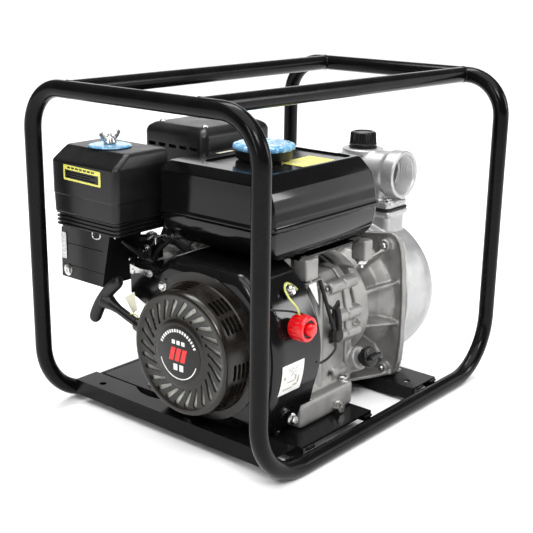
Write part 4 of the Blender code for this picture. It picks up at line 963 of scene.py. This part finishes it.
def recoil_cover():
    """The starter cover: slotted dished face, vented side and an eared flange."""
    front, back = RECOIL_LOW.x, RECOIL_HIGH.x
    profile = [
        (front, 39), (front + 1.2, 42), (front + 2.6, 45), (front + 2.8, 67), (front + 1.4, 70),
        (front + 0.5, 72.5), (front + 0.5, 74), (front + 1.6, 76.6), (front + 4, 78.4),
        (front + 8, RECOIL_R), (back - 5, RECOIL_R + 3), (back - 3.4, RECOIL_R + 4.4),
        (back - 2.8, RECOIL_R + 8), (back - 2.4, 94), (back, 94), (back, 78), (front + 9, 75.5),
        (front + 6, 72), (front + 5.4, 66), (front + 5.2, 44), (front + 3, 40)]
    shape = crank_turned(profile, 128)
    ears = [round_crank(soft_box((back - 3, back), (82, 98), (-9, 9), 4, 4, "X"), turn)
            for turn in STARTER_EARS]
    slots = [prism(slot_outline(48, 65, 2.3, 3.6, 360 * i / 26, 13), "X", front - 4, front + 7)
             for i in range(26)]
    for group in (135, 195, 255, 315, 75):
        for column in (-10, 9):
            for row in range(4):
                low = front + 11 + row * 6.6
                slot = soft_box((low, low + 4.5), about(RECOIL_R, 14), (-10.6, 10.6), 2.0, 2, "Y")
                slots.append(round_crank(slot, group + column))
    guide = aimed_turned([(0, 4.5), (50, 4.5)], ROPE_POINT - ROPE_WAY * 30, ROPE_WAY, 20)
    collar = aimed_turned([(-9, 9), (3, 9), (5.5, 7.5)], ROPE_POINT, ROPE_WAY, 32)
    new_piece("recoil_cover_shell", cut(united(shape, *ears, collar), joined(slots), guide),
              "starter_paint", replaces=("recoil_cover",), angle=30)
    places = [round_crank_point(back - 2.4, 91, turn) for turn in STARTER_EARS]
    fittings("recoil_bolts", [hex_bolt(place, TO_STARTER, 4.6, 4.5) for place in places])


def reel_face():
    """The reel's pale front web, seen through the starter's slots."""
    x = RECOIL_LOW.x
    ring = crank_turned([(x + 7.4, 41), (x + 7.4, 70.5), (x + 9.2, 71), (x + 9.2, 41)], 72, hollow=True)
    spokes = []
    for i in range(12):
        rib = soft_box((x + 6.6, x + 8), (44, 69), (-1.1, 1.1), 0.5, 2, "X")
        spokes.append(round_crank(rib, 15 + 30 * i))
    new_piece("reel_web", joined([ring, *spokes]), "nylon", "reel")


def ring_piece(inner, outer, start, end, low, high, count=40):
    """A flat arc on the starter's face."""
    centre = (CRANK_Y, CRANK_Z)
    outline = arc(centre, outer, start, end, count) + arc(centre, inner, end, start, count)
    return prism(outline, "X", low, high)


def emblem():
    """A plain round badge: black disc, white arcs and dashes, and three red bars."""
    x = RECOIL_LOW.x
    parts = [paint(crank_turned([(x + 0.2, 36), (x - 0.5, 36), (x - 0.9, 35)], 72), 0)]
    face = (x - 1.25, x - 0.7)
    parts.append(paint(ring_piece(30.2, 31.4, 198, 342, *face), 1))
    for i in range(17):
        start = 22 + i * 8
        parts.append(paint(ring_piece(28.6, 32.4, start, start + 4.6, *face, 4), 1))
    for u in (-9.5, 0.0, 9.5):
        bar = [(u - 6.4, -8.6), (u + 0.8, -8.6), (u + 5.4, 8.6), (u - 1.8, 8.6)]
        parts.append(paint(prism([(CRANK_Y - a, CRANK_Z + b) for a, b in bar], "X", *face), 2))
    for u in (-8.0, 0.0, 8.0):
        parts.append(paint(box(face, about(CRANK_Y - u, 2.6), (CRANK_Z + 13, CRANK_Z + 18)), 1))
    for u in (-5.0, 5.0):
        parts.append(paint(box(face, about(CRANK_Y - u, 3.2), (CRANK_Z - 20.5, CRANK_Z - 12.5)), 1))
    new_piece("starter_badge", joined(parts), ("black_print", "white_print", "red_print"))


def starter_handle():
    """The T grip with its tapered sleeve and the rope."""
    centre = ROPE_POINT + ROPE_WAY * 66
    way = Vector((0, -0.62, 0.785))
    path, radii = [], []
    for i in range(25):
        place = (i - 12) / 12
        path.append(centre + way * 42 * place + ROPE_WAY * 7 * (0.5 - place * place))
        radii.append(8.4 * (1 - abs(place) ** 14) ** 0.5 if abs(place) < 1 else 4.5)
    grip = sweep(path, [max(r, 4.5) for r in radii], 28)
    sleeve = aimed_turned([(0, 4.8), (1.5, 5.8), (36, 5.8), (48, 7.6), (56, 10), (62, 12)], ROPE_POINT
                          + ROPE_WAY * 3, ROPE_WAY, 28)
    new_piece("starter_grip", cast(joined([grip, sleeve]), 0.8, 5), "plastic", "handle",
              ("starter_handle",), angle=60)
    rope = [ROPE_POINT + ROPE_WAY * d for d in range(-145, 12, 3)]
    twist = [1.8 + 0.25 * math.sin(i * 2.1) for i in range(len(rope))]
    new_piece("starter_rope", sweep(rope, twist, 10), "rubber", "handle")


# Fuel tank

def fuel_tank():
    """The two pressings of the tank, the upper one with a shallow panel round its filler."""
    x = (TANK_LOW.x + FLANGE, TANK_HIGH.x - FLANGE)
    y = (TANK_LOW.y + FLANGE, TANK_HIGH.y - FLANGE)
    top = TANK_TOP
    levels = [(SEAM_Z - 0.4, -2.4, -2.4), (SEAM_Z + 0.3, -3, -3), (SEAM_Z + 2, -3, -3),
              (SEAM_Z + 2.8, -2.2, -2.2), (SEAM_Z + 3.4, -0.6, -0.6), (SEAM_Z + 5, 0, 0), (300, 0.8, 0.3),
              (317, 3.0, 0.6), (329.6, 6.6, 0.9), (331.4, 7.6, 1.0), (337, 11.2, 1.2), (338.4, 12.1, 2.0),
              (345, 16.4, 7.4), (348.3, 18.8, 10.2), (top, 20.6, 11.8)]
    shape = tapered_stack(x, y, levels, TANK_CORNER)
    panel = soft_box((x[0] + 35, x[1] - 27), (y[0] + 25, CAP.y + 44), (top - 2.2, top + 8), 12, 8, "Z")
    gauge = soft_box((CAP.x - 18, CAP.x + 22), (y[1] - 27, y[1] - 14), (top - 2.2, top + 4), 3, 4, "Z")
    upper = cut(shape, panel, gauge)
    new_piece("tank_upper_shell", upper, "tank_paint", replaces=("tank_upper",), angle=16, bevel=1.0)
    levels = [(SEAM_Z - 0.5, -2.4), (SEAM_Z - 1.4, -2.6), (SEAM_Z - 2.6, -1.4), (SEAM_Z - 4, 0),
              (276, 0.4, 0.8), (266, 1.6, 4), (257, 4.2, 10.5), (250, 7.6, 17.5), (245, 12, 25),
              (241.5, 17, 33), (239.4, 22, 40), (TANK_BOTTOM, 28, 48)]
    new_piece("tank_lower_shell", stacked(x, y, levels, TANK_CORNER), "tank_paint",
              replaces=("tank_lower",), angle=24)
    neck = turned([(top - 2.6, 27.5), (top - 2.6, 33), (top + 0.8, 33), (top + 1.2, 32.4),
                   (top + 1.2, 27.5)], "Z", (CAP.x, CAP.y), 56, hollow=True)
    new_piece("filler_neck", neck, "tank_paint")
    new_piece("tank_seam", stacked(x, y, [(SEAM_Z - 0.6, -2.2), (SEAM_Z - 0.2, -2.2)], TANK_CORNER),
              "rubber")


def film_height(x, y, reach):
    """How far crinkled film stands off a surface at a point."""
    broad = noise.noise(Vector((x, y, 3.0)) * 0.11)
    fine = noise.noise(Vector((x, y, 9.0)) * 0.33)
    return reach * (0.5 + 0.5 * broad + 0.4 * fine)


def fuel_cap():
    """The filler cap: a black skirt under a scalloped top wrapped in crinkled film."""
    low, high = span("fuel_cap")
    top = high.z
    radius = (high.x - low.x) / 2
    skirt = turned([
        (top - 19.2, 34), (top - 19.2, radius - 5), (top - 8, radius - 3.6), (top - 7, radius - 6),
        (top - 7, 27.5), (top - 14, 27.5), (top - 14, 34)], "Z", (CAP.x, CAP.y), 72, hollow=True)
    new_piece("fuel_cap_skirt", skirt, "plastic", "tank_cap")
    count = 180
    loops = []
    levels = [(top - 8.6, 0.90), (top - 8.2, 0.965), (top - 6.2, 0.99), (top - 3.6, 0.985),
              (top - 2.4, 0.955), (top - 1.6, 0.91), (top - 1.0, 0.84), (top - 1.2, 0.72),
              (top - 1.6, 0.56), (top - 1.6, 0.40), (top - 1.4, 0.22), (top - 1.4, 0.06)]
    for z, share in levels:
        loop = []
        for i in range(count):
            turn = 2 * math.pi * i / count
            lobes = 0.9 * math.cos(18 * turn) if share > 0.9 else 0.0
            reach = radius * share - 1.2 + lobes
            px, py = CAP.x + reach * math.cos(turn), CAP.y + reach * math.sin(turn)
            lift = film_height(px, py + z * 2, 1.1)
            side = 1.0 if share > 0.93 else 0.0
            loop.append((px + side * 0.6 * lift * math.cos(turn), py + side * 0.6 * lift * math.sin(turn), z
                         + (0.0 if side else 0.9 * lift)))
        loops.append(loop)
    new_piece("fuel_cap_film", loft(loops), "film", "tank_cap", ("fuel_cap",), angle=50)


def tank_supports():
    """The cast posts under the tank with their studs, and the pressed plate that joins them."""
    low, high = span("tank_bracket")
    top = high.z
    plate = cut(
        box((low.x, 48), (-116, 20), (top - 4, top - 1)), box((-60, 18), (-92, -10), (top - 10, top + 5)))
    new_piece("tank_bracket_plate", plate, "gloss_black", bevel=0.6)
    parts = []
    posts = ((low.x, 25, 11.6), (27, 18, 8.6))
    for x, width, radius in posts:
        parts.append(soft_box((x, x + width), (low.y, low.y + 24), (208, top - 1), 3))
        parts.append(aimed_turned(
            [(0, radius - 1), (3, radius), (26, radius)], (x + width / 2, low.y + 12, 209), UP, 32))
    for x in (-96, -38):
        parts += [soft_box((x, x + 20), (y, y + 20), (204.4, top - 4), 3) for y in (-86, -22)]
    casting("tank_bracket", joined(parts), 1.3, 3)
    nuts = []
    for x, width, radius in posts:
        at = (x + width / 2, low.y + 12, 208.2)
        nuts.append(hex_bolt(at, DOWN, 6.6, 6.5))
        nuts.append(aimed_turned([(0, 3), (11, 3)], at, DOWN, 14))
    fittings("tank_nuts", nuts)


# Air cleaner

def air_cleaner():
    """The cleaner's cover, ribbed tray, lower case and blue-filmed washer."""
    x, y = (CLEANER_LOW.x, CLEANER_HIGH.x), (CLEANER_LOW.y, CLEANER_HIGH.y)
    bottom, top = CLEANER_LOW.z, CLEANER_HIGH.z
    levels = [(bottom, 3.4), (bottom + 0.2, 2.0), (bottom + 1.4, 1.3), (296, 0.7), (299, 0.7), (300.2, 0.1),
              (301.4, 0), (341, 0), (342.6, 0.1, 0.8), (344, 0.3, 2.2), (346, 0.6, 5), (353.6, 1.6, 16),
              (356.6, 2.4, 20.5), (358.6, 3.6, 22.5), (359.7, 5.4, 24), (top, 8, 26)]
    new_piece(
        "air_cleaner_cover_shell", stacked(x, y, levels, 9), "plastic",
        replaces=("air_cleaner_cover", "air_filter_element"), angle=24)
    tray_levels = []
    for z in (257.5, 262.5, 267.5):
        tray_levels += [(z, 5), (z + 0.4, 2.2), (z + 2.2, 2.2), (z + 2.6, 5)]
    tray_levels += [(bottom - 2, 5), (bottom - 1.5, 2), (bottom - 0.4, 2)]
    tray = stacked(x, y, tray_levels, 10)
    front = -218.0
    high_y = CASE_BOX_HIGH.y
    shell = prism([(115, 179), (high_y, 179), (high_y - 2, 246), (180, 262), (96, 262)], "X", front, -162)
    steps = [soft_box(
        (front - 0.8, -166), (112, high_y - 4), (z, z + 1.6), 0.6, 1) for z in (196, 226, 250)]
    spout = soft_box((-172, -158.3), (82, 134), (186, 208), 3)
    band = soft_box((front - 1.6, -166), (100, high_y - 1), (252, 259), 2)
    shape = united(tray, shell, spout, band, *steps)
    new_piece("air_cleaner_lower_case", shape, "plastic", replaces=("air_cleaner_case",), angle=28,
              bevel=0.9)
    clips = []
    clip_x = -230.0
    clips.append(cable([(clip_x, 103, 263), (clip_x - 1, 102, 250), (clip_x - 1, 115, 249),
                        (clip_x, 114, 262), (clip_x, 103, 263)], 1.1, 8, 4))
    clips.append(hex_bolt((front - 0.3, high_y - 14, 190), TO_STARTER, 5.6, 2.4))
    clips.append(soft_box((-228, -222), (118, 122), (250, 253.5), 0.8, 2))
    clips.append(soft_box((-214, -206), (92, 97), (247, 251), 0.8, 2))
    fittings("air_cleaner_fittings", clips)
    washer_low, washer_high = span("air_cleaner_washer")
    radius = (washer_high.x - washer_low.x) / 2
    loops = []
    for z, share in ((0.1, 0.96), (0.8, 1.0), (1.8, 0.98), (2.4, 0.9), (2.7, 0.7), (3.0, 0.5), (3.2, 0.3),
                     (3.4, 0.14)):
        loop = []
        for i in range(120):
            turn = 2 * math.pi * i / 120
            reach = (radius - 1.0) * share
            px, py = WASHER.x + reach * math.cos(turn), WASHER.y + reach * math.sin(turn)
            lift = film_height(px, py, 1.0)
            loop.append((px, py, washer_low.z + z + (0.5 * lift if z > 2 else 0)))
        loops.append(loop)
    new_piece("air_cleaner_washer_film", loft(loops), "film", replaces=("air_cleaner_washer",), angle=50)


def wing_nut():
    """The wing nut with its two upswept ears and the stud's end."""
    low = WASHER.z * 2 - span("air_cleaner_washer")[0].z + 0.3
    at = Vector((WASHER.x, WASHER.y, low))
    hub = aimed_turned([
        (0, 8.4), (1.5, 8.2), (7.5, 6), (8.5, 5), (8.5, 3), (12, 3), (12.6, 2.2)], at, UP, 32)
    ears = []
    for side in (-1, 1):
        path = [
            at + Vector((side * u, 0, w)) for u, w in ((3, 3), (7, 4.6), (11, 8), (14, 12), (15.6, 15.2))]
        ear = sweep(smooth_path(path, 5), 3.6, 16)
        flatten = Matrix.Translation(at) @ Matrix.Scale(0.45, 4, (0, 1, 0)) @ Matrix.Translation(-at)
        ears.append(placed(ear, flatten))
    new_piece("wing_nut_body", cast(joined([hub, *ears]), 0.7, 4), "zinc", "cover_nut", ("wing_nut",),
              angle=60)


# Silencer

def silencer():
    """The heat shield with its slots and screws over the silencer box."""
    x, y = (SHIELD_LOW.x - 3, SHIELD_HIGH.x), (SHIELD_LOW.y, SHIELD_HIGH.y + 3)
    bottom, top = SHIELD_LOW.z, SHIELD_HIGH.z
    inner = [(top - 2.5, 13), (top - 12, 3.5), (bottom, 2)]
    outer = [(bottom, 0), (bottom + 8, 0), (bottom + 9, 0.8), (bottom + 12, 0.8), (bottom + 13, 0),
             (top - 13, 0), (top - 10, 0.8), (top - 6.5, 3), (top - 4, 6), (top - 1.6, 9.5),
             (top - 0.5, 12), (top, 15)]
    shape = stacked(x, y, inner + outer, 12)
    slots = [soft_box((x[0] - 5, x[0] + 6), (y[0] + 12 + i * 20, y[0] + 26 + i * 20), (top - 31, top - 26),
                      1.6, 2) for i in range(5)]
    slots += [soft_box((x[0] + 16 + i * 22, x[0] + 32 + i * 22), (y[0] - 5, y[0] + 6), (top - 38, top - 32),
                       1.6, 2) for i in range(5)]
    new_piece("silencer_shield", cut(shape, joined(slots)), "plastic", replaces=("muffler_shield",),
              angle=28, bevel=0.6)
    screws = [pan_screw((x[0] + 20, y[0] + 17, top), UP, 5), pan_screw((x[1] - 22, y[1] - 22, top), UP, 5),
              pan_screw((x[0] + 20, y[1] - 20, top), UP, 5), pan_screw((x[1] - 22, y[0] + 18, top), UP, 5)]
    fittings("shield_screws", screws)


# Switch, levers, hoses and wires

def switch():
    """The red stop switch, with its recessed button, a black ring of painted shade round the button, and
    its earth wire.
    """
    centre = (SWITCH.x, SWITCH.z)
    front = span("engine_switch")[0].y
    low = span("switch_button")[0].y
    barrel = turned([
        (-157.2, 13), (-158, 14), (-160.5, 14.8), (front + 4, 15.8), (front + 1.6, 15.6),
        (front + 0.4, 14.8), (front, 13.4), (front, 11.6), (front + 0.8, 10.9), (front + 11.6, 10.6)], "Y",
        centre, 64)
    parts = [barrel]
    for i in range(18):
        turn = 2 * math.pi * i / 18
        at = (centre[0] + 15 * math.cos(turn), centre[1] + 15 * math.sin(turn))
        parts.append(soft_box(about(at[0], 1.1), (front + 5, -161), about(at[1], 1.1), 0.6, 2))
    new_piece("switch_barrel", joined(parts), "red", replaces=("engine_switch",), angle=30)
    button = turned([(front + 7, 7.6), (low + 3, 7.6), (low + 1.2, 7.0), (low + 0.2, 5.4), (low, 3)], "Y",
                    centre, 48)
    new_piece("switch_button_cap", button, "red", "stop_button", ("switch_button",), angle=30)
    # A black ring in the gap round the button is painted shade: it stands for the shadow down the groove.
    painted_shade_ring = turned([(front + 2.4, 8.4), (front + 2.4, 10.9), (front + 6.4, 10.9), (front + 6.4, 8.4)], "Y",
                  centre, 32, hollow=True)
    new_piece("switch_painted_shade_ring", painted_shade_ring, "black_print")
    wire = [(-161, -166, 191), (-162, -163, 200), (-165, -154, 210), (-164, -146, 219), (-157, -141, 224),
            (-147, -139, 221), (-138, -140, 215), (-131, -138, 210)]
    new_piece("earth_wire", cable(wire, 1.3), "wire")
    dark = [(-154, -166, 191), (-168, -158, 196), (-184, -148, 199), (-195, -138, 200)]
    new_piece("switch_lead", cable(dark, 1.2), "rubber")
    dome = aimed_turned([(0, 0), (0, 8), (1.6, 8), (2.2, 6.0), (4.6, 5.8), (7, 4.2), (8.4, 2), (8.6, 0)],
                        (-146, -138, 213), (-0.2, -0.75, 0.62), 28)
    bolts = [dome, hex_bolt((-150, -149, 50), TO_NEAR, 5.2, 7)]
    fittings("housing_bolts", bolts)


def throttle_linkage():
    """The governor arm, its pivot, cable and springs beside the crankcase, and the throttle."""
    arm = cable([(-72, -128, 206), (-69, -132, 190), (-62, -136, 164), (-54, -140, 138)], 2.6, 10)
    arm = joined([
        arm, aimed_turned([(0, 8), (2, 9), (11, 9), (13, 7)], (-46, -131, 128), TO_NEAR, 28),
        soft_box((-56, -50), (-140, -136), (126, 166), 1.5, 2),
        soft_box((-57, -41), (-141, -137), (122, 136), 1.5, 2),
        cable([(-53, -141, 170), (-50, -142, 160), (-46, -141, 146), (-44, -140, 136)], 4.2, 12, 5),
        cable([(-66, -133, 176), (-58, -140, 168), (-50, -142, 176), (-46, -140, 160)], 1.8, 10)])
    new_piece("governor_arm", arm, "rubber")
    loop = [(-52, -141, 122), (-58, -145, 114), (-74, -148, 109), (-92, -152, 109), (-108, -156, 113),
            (-118, -160, 119)]
    new_piece("governor_wire", cable(loop, 1.6), "rubber")
    blade = prism([(-100, 207), (-84, 207), (-80, 190), (-78, 176)], "Y", -131.6, -130.8)
    new_piece("governor_blade", blade, "zinc")
    low, high = span("throttle_lever")
    pivot = (high.y - 7, low.z + 6)
    strap = [(pivot[0] + 5, pivot[1] + 9), (pivot[0] + 5, pivot[1] - 3), (62, 205.5), (48, 203.8),
             (42, 204), (38.6, 207), (39, 211), (43, 213.4), (50, 212), (62, 211.5)]
    throttle = joined([
        prism(strap, "X", low.x - 0.2, high.x),
        aimed_turned([(0, 3.6), (1.6, 3.2)], (low.x, *pivot), TO_STARTER, 24),
        aimed_turned([(0, 2.6), (1.8, 2.4)], (low.x, 43, 208.5), TO_STARTER, 20)])
    new_piece("throttle_arm", throttle, "zinc", "throttle", ("throttle_lever",))


def plumbing():
    """Fuel hose, plug lead, breather hose and the bits round the carburettor."""
    bowl = middle("float_bowl")
    hoses = [
        cable([(-148, 60, 240), (-150, 72, 230), (-152, 84, 214), (-150, 96, 180), (-146, 104, 172)], 4.0,
              16),
        cable([(-112, 44, 208), (-120, 62, 222), (-128, 78, 232), (-150, 96, 236), (-166, 110, 236)], 5.0,
              16),
        cable([(-196, 100, 240), (-190, 92, 232), (-178, 88, 222), (-168, 86, 214)], 3.0, 12)]
    new_piece("hoses", joined(hoses), "rubber")
    cap = middle("spark_plug_cap")
    lead = [(-60, cap.y + 10, cap.z + 6), (-70, cap.y + 16, cap.z + 14), (-96, cap.y, cap.z + 22),
            (-112, 84, 176), (-118, 66, 168)]
    new_piece("plug_lead", cable(lead, 3.4, 14), "rubber")
    bits = [
        hex_bolt((bowl.x, bowl.y, span("float_bowl")[0].z + 1), DOWN, 5, 4),
        soft_box((-170, -150), (64, 67), (236, 246), 1, 2),
        soft_box((-140, -128), (58, 62), (237, 244), 1, 2),
        soft_box((-196, -186), (86, 89), (216, 220), 1, 2)]
    bits.append(cable([(-176, 74, 243), (-168, 70, 246), (-158, 70, 240), (-150, 66, 244)], 1.3, 8))
    fittings("carburettor_fittings", bits)
    bands = [turned([(z, 21.4), (z, 22.4), (z + 3, 22.4), (z + 3, 21.4)], "Z", (bowl.x, bowl.y), 40,
                    hollow=True) for z in (span("float_bowl")[1].z - 8, span("float_bowl")[1].z - 16)]
    fittings("bowl_bands", bands)


def choke_housing():
    """The carburettor's dark upper body beside the cleaner's duct, with its cap and small fittings."""
    body = soft_box((-157, -131), (88, 117), (203, 231), 4)
    step = soft_box((-154, -134), (84, 110), (226, 237), 3)
    cap = turned([(234, 8), (240, 8), (241.5, 6.5)], "Z", (-144, 99), 32)
    boss = aimed_turned([(0, 6.5), (5, 6.5), (6, 5.5)], (-156, 103, 215), TO_STARTER, 28)
    new_piece("choke_housing", cast(united(body, step, cap, boss), 0.9, 2), "plastic", angle=60)
    bits = [
        hex_bolt((-157, 94, 225), TO_STARTER, 3.2, 3), hex_bolt((-157, 112, 208), TO_STARTER, 3.2, 3),
        hex_bolt((-144, 99, 241), UP, 3.4, 2.6), soft_box((-160.5, -157), (97, 109), (219, 221), 0.7, 2)]
    fittings("choke_housing_fittings", bits)


def tag():
    """A pale paper tag tied to the starter rope's guide."""
    card = prism([(70, 176), (52, 187), (47, 164), (55, 158)], "X", -221.0, -220.4)
    new_piece("paper_tag", card, "pale_plastic")
    tie = cable([(-226, 58, 158), (-229, 52, 153), (-226, 46, 152), (-223, 44, 157), (-227, 50, 160),
                 (-230, 56, 156)], 1.0, 8)
    new_piece("tag_tie", tie, "wire")


# Labels. Each is one thin plate with generic marks on it.

def label(name, corner, across, up, size, marks, looks):
    """A flat sticker: marks are (look index, low u, low v, high u, high v) rectangles."""
    u_way, v_way = Vector(across).normalized(), Vector(up).normalized()
    out = u_way.cross(v_way)
    turn = Matrix((u_way, v_way, out)).transposed().to_4x4()
    place = Matrix.Translation(Vector(corner)) @ turn
    parts = [paint(prism(rounded_outline((0, size[0]), (0, size[1]), 2.0, 4), "Z", 0, 0.25), 0)]
    for index, low_u, low_v, high_u, high_v in marks:
        outline = [(low_u, low_v), (high_u, low_v), (high_u, high_v), (low_u, high_v)]
        parts.append(paint(prism(outline, "Z", 0.2, 0.34), index))
    new_piece(name, placed(joined(parts), place), looks)


def labels():
    """Generic stickers: bars and blocks in place of any lettering."""
    marks = [(2, 3, 2.6, 66, 13.4)]
    marks += [(1, 5, 4.2 + i * 3.0, 60 - (i % 2) * 9, 5.4 + i * 3.0) for i in range(3)]
    marks += [(2, 8 + i * 7.5, 15.4, 13.4 + i * 7.5, 17.6) for i in range(7)]
    label("cleaner_sticker", (CLEANER_LOW.x - 0.12, 157, 320), (0, -1, -0.02), UP, (70, 19.5), marks,
          ("yellow_print", "white_print", "black_print"))
    marks = [(1, 5, 5 + i * 5.2, 50 - (i % 3) * 8, 6.4 + i * 5.2) for i in range(6)]
    label("tank_sticker", (-75, -102, TANK_TOP - 2.1), (1, 0.03, 0), (0, 1, 0), (66, 41), marks,
          ("yellow_print", "grey_print"))
    label("tank_strip", (33, -80, TANK_TOP + 0.1), (0, 1, 0), TO_STARTER, (74, 11), [(1, 4, 4.5, 66, 5.7)],
          ("white_print", "grey_print"))
    label("gauge_plate", (CAP.x - 17, TANK_HIGH.y - FLANGE - 26.4, TANK_TOP - 2.1), TO_PUMP, (0, 1, 0),
          (38, 11.6), [(1, 3, 3, 34, 8)], ("grey_print", "pale_plastic"))
    marks = [(1, 2, 6 + i * 6.5, 9 - (i % 2) * 2, 8.4 + i * 6.5) for i in range(5)]
    label("case_sticker", (-218.9, CASE_BOX_HIGH.y - 1.5, 205), TO_NEAR, UP, (11, 36), marks,
          ("silver_print", "white_print"))


def housing_sticker():
    """A white picture sticker that follows the housing's round side."""
    parts = []

    def patch(x, z, lift, index):
        rows, loops = 8, []
        for i in range(rows + 1):
            height = z[0] + (z[1] - z[0]) * i / rows
            reach = HOUSING_R + lift
            out = CRANK_Y - math.sqrt(reach ** 2 - (height - CRANK_Z) ** 2)
            loops.append([(x[0], out, height), (x[1], out, height), (x[1], out + 0.5, height),
                          (x[0], out + 0.5, height)])
        parts.append(paint(loft(loops), index))

    patch((-184, -143), (91, 131), 0.35, 0)
    for x, z in (((-178, -160), (97, 99)), ((-160, -152), (99, 102)), ((-153, -150), (102, 112)),
                 ((-172, -158), (106, 108)), ((-159, -156), (108, 115)), ((-180, -176), (112, 116))):
        patch(x, z, 0.5, 1)
    for x, z in (((-172, -156), (118, 126)), ((-168, -160), (114, 118))):
        patch(x, z, 0.5, 2)
    new_piece("picture_sticker", joined(parts), ("white_print", "grey_print", "silver_print"))


# Finishes for the CAD nodes that keep their own shapes

def dress_nodes():
    finishes = {
        "frame_paint": (("recoil_end_channel", 0.6), ("engine_plate", 0.6), ("pump_end_channel", 0.6)),
        "gloss_black": (("rocker_cover", 1.2),),
        "plastic": (("ignition_coil", 0.6), ("cooling_fan", 0.4), ("fuel_cock_lever", 0.4)),
        "rubber": (("spark_plug_cap", 0.5), ("oil_plug_gasket", 0), ("mechanical_seal", 0),
                   ("check_valve_flap", 0.5), ("discharge_gasket", 0.2), ("priming_gasket", 0.2)),
        "cast_aluminium": (("cylinder_head", 0.5), ("piston", 0.4), ("carburettor", 0.8)),
        "zinc": (("crankshaft", 0.3), ("front_bearing", 0.4), ("rear_bearing", 0.4), ("float_bowl", 0.4),
                 ("choke_lever", 0.3), ("oil_drain_bolt", 0.5)),
        "dark_steel": (("camshaft", 0.3), ("starter_cup", 0.4), ("muffler", 0.5)),
        "cast_iron": (("flywheel", 0.6), ("exhaust_pipe", 0), ("volute", 0.6), ("impeller", 0.5)),
        "nylon": (("starter_reel", 0),),
        "brass": (("fuel_strainer", 0), ("pump_drain_plug", 0.5)),
        "ceramic": (("spark_plug", 0.3),),
    }
    for look, nodes in finishes.items():
        for node, bevel in nodes:
            dress(node, look, bevel)


# Studio

def studio():
    """A pale floor, soft lamps and a dim room."""
    floor = bmesh.new()
    bmesh.ops.create_grid(floor, x_segments=1, y_segments=1, size=400.0)
    mesh = bpy.data.meshes.new("floor")
    floor.to_mesh(mesh)
    floor.free()
    item = bpy.data.objects.new("floor", mesh)
    item.location = (0, 0, -0.0002)
    bpy.context.scene.collection.objects.link(item)
    mesh.materials.append(surface("floor_paper", grey(0.90), grey(0.93), (0.85, 0.95), mottle=2))
    world = bpy.data.worlds.new("studio")
    world.use_nodes = True
    background = world.node_tree.nodes["Background"]
    background.inputs["Color"].default_value = (0.95, 0.97, 1.0, 1.0)
    background.inputs["Strength"].default_value = 0.16
    bpy.context.scene.world = world
    lamps = (("key", (-1.5, -1.9, 2.2), (0.7, 0.7), 46), ("strip", (-2.2, -0.4, 1.2), (0.18, 1.3), 12),
             ("fill", (1.6, -2.0, 1.2), (0.4, 1.0), 16), ("top", (0.3, 0.6, 2.2), (1.4, 0.5), 30),
             ("side", (1.9, -1.55, 0.75), (1.6, 1.1), 9), ("back", (2.4, 2.0, 1.15), (3.0, 1.3), 16))
    for name, place, size, power in lamps:
        data = bpy.data.lights.new(name, "AREA")
        data.shape = "RECTANGLE"
        data.size, data.size_y = size
        data.energy = power
        lamp = bpy.data.objects.new(name, data)
        lamp.location = place
        lamp.rotation_euler = (Vector((0, 0, 0.2)) - Vector(place)).to_track_quat("-Z", "Y").to_euler()
        bpy.context.scene.collection.objects.link(lamp)
    sun = bpy.data.lights.new("sky", "SUN")
    sun.energy = 3.3
    sun.angle = math.radians(70)
    lamp = bpy.data.objects.new("sky", sun)
    lamp.rotation_euler = (math.radians(8), math.radians(-8), 0)
    bpy.context.scene.collection.objects.link(lamp)


def camera():
    """The camera at the photograph's angle, about 1.5 m from the machine."""
    data = bpy.data.cameras.new("camera")
    data.sensor_width = 36.0
    data.lens = 70.42
    data.clip_end = 900.0
    item = bpy.data.objects.new("camera", data)
    azimuth, elevation, roll = math.radians(50.21), math.radians(16.39), math.radians(0.79)
    level = math.cos(elevation)
    way = Vector((math.sin(azimuth) * level, math.cos(azimuth) * level, -math.sin(elevation)))
    item.rotation_mode = "QUATERNION"
    item.rotation_quaternion = Matrix.Rotation(-roll, 3, way).to_quaternion() @ way.to_track_quat("-Z", "Y")
    item.location = (-1.07592, -0.87670, 0.59097)
    bpy.context.scene.collection.objects.link(item)
    bpy.context.scene.camera = item
    bpy.context.scene.view_settings.view_transform = "Standard"


def build():
    hoop("recoil_end_hoop", -1)
    hoop("pump_end_hoop", 1)
    top_rail("top_rail_far", 0)
    top_rail("top_rail_near", -1)
    base_welds()
    feet_bolts()
    crankcase()
    side_cover()
    pump_bracket()
    pump_casing()
    discharge()
    priming_plug()
    blower_housing()
    recoil_cover()
    reel_face()
    emblem()
    starter_handle()
    fuel_tank()
    fuel_cap()
    tank_supports()
    air_cleaner()
    wing_nut()
    silencer()
    switch()
    throttle_linkage()
    plumbing()
    cylinder_shroud()
    choke_housing()
    tag()
    labels()
    housing_sticker()
    oil_plug()
    dress_nodes()
    studio()
    camera()


build()


def corners(bounds):
    return [[float(value) for value in corner] for corner in bounds]
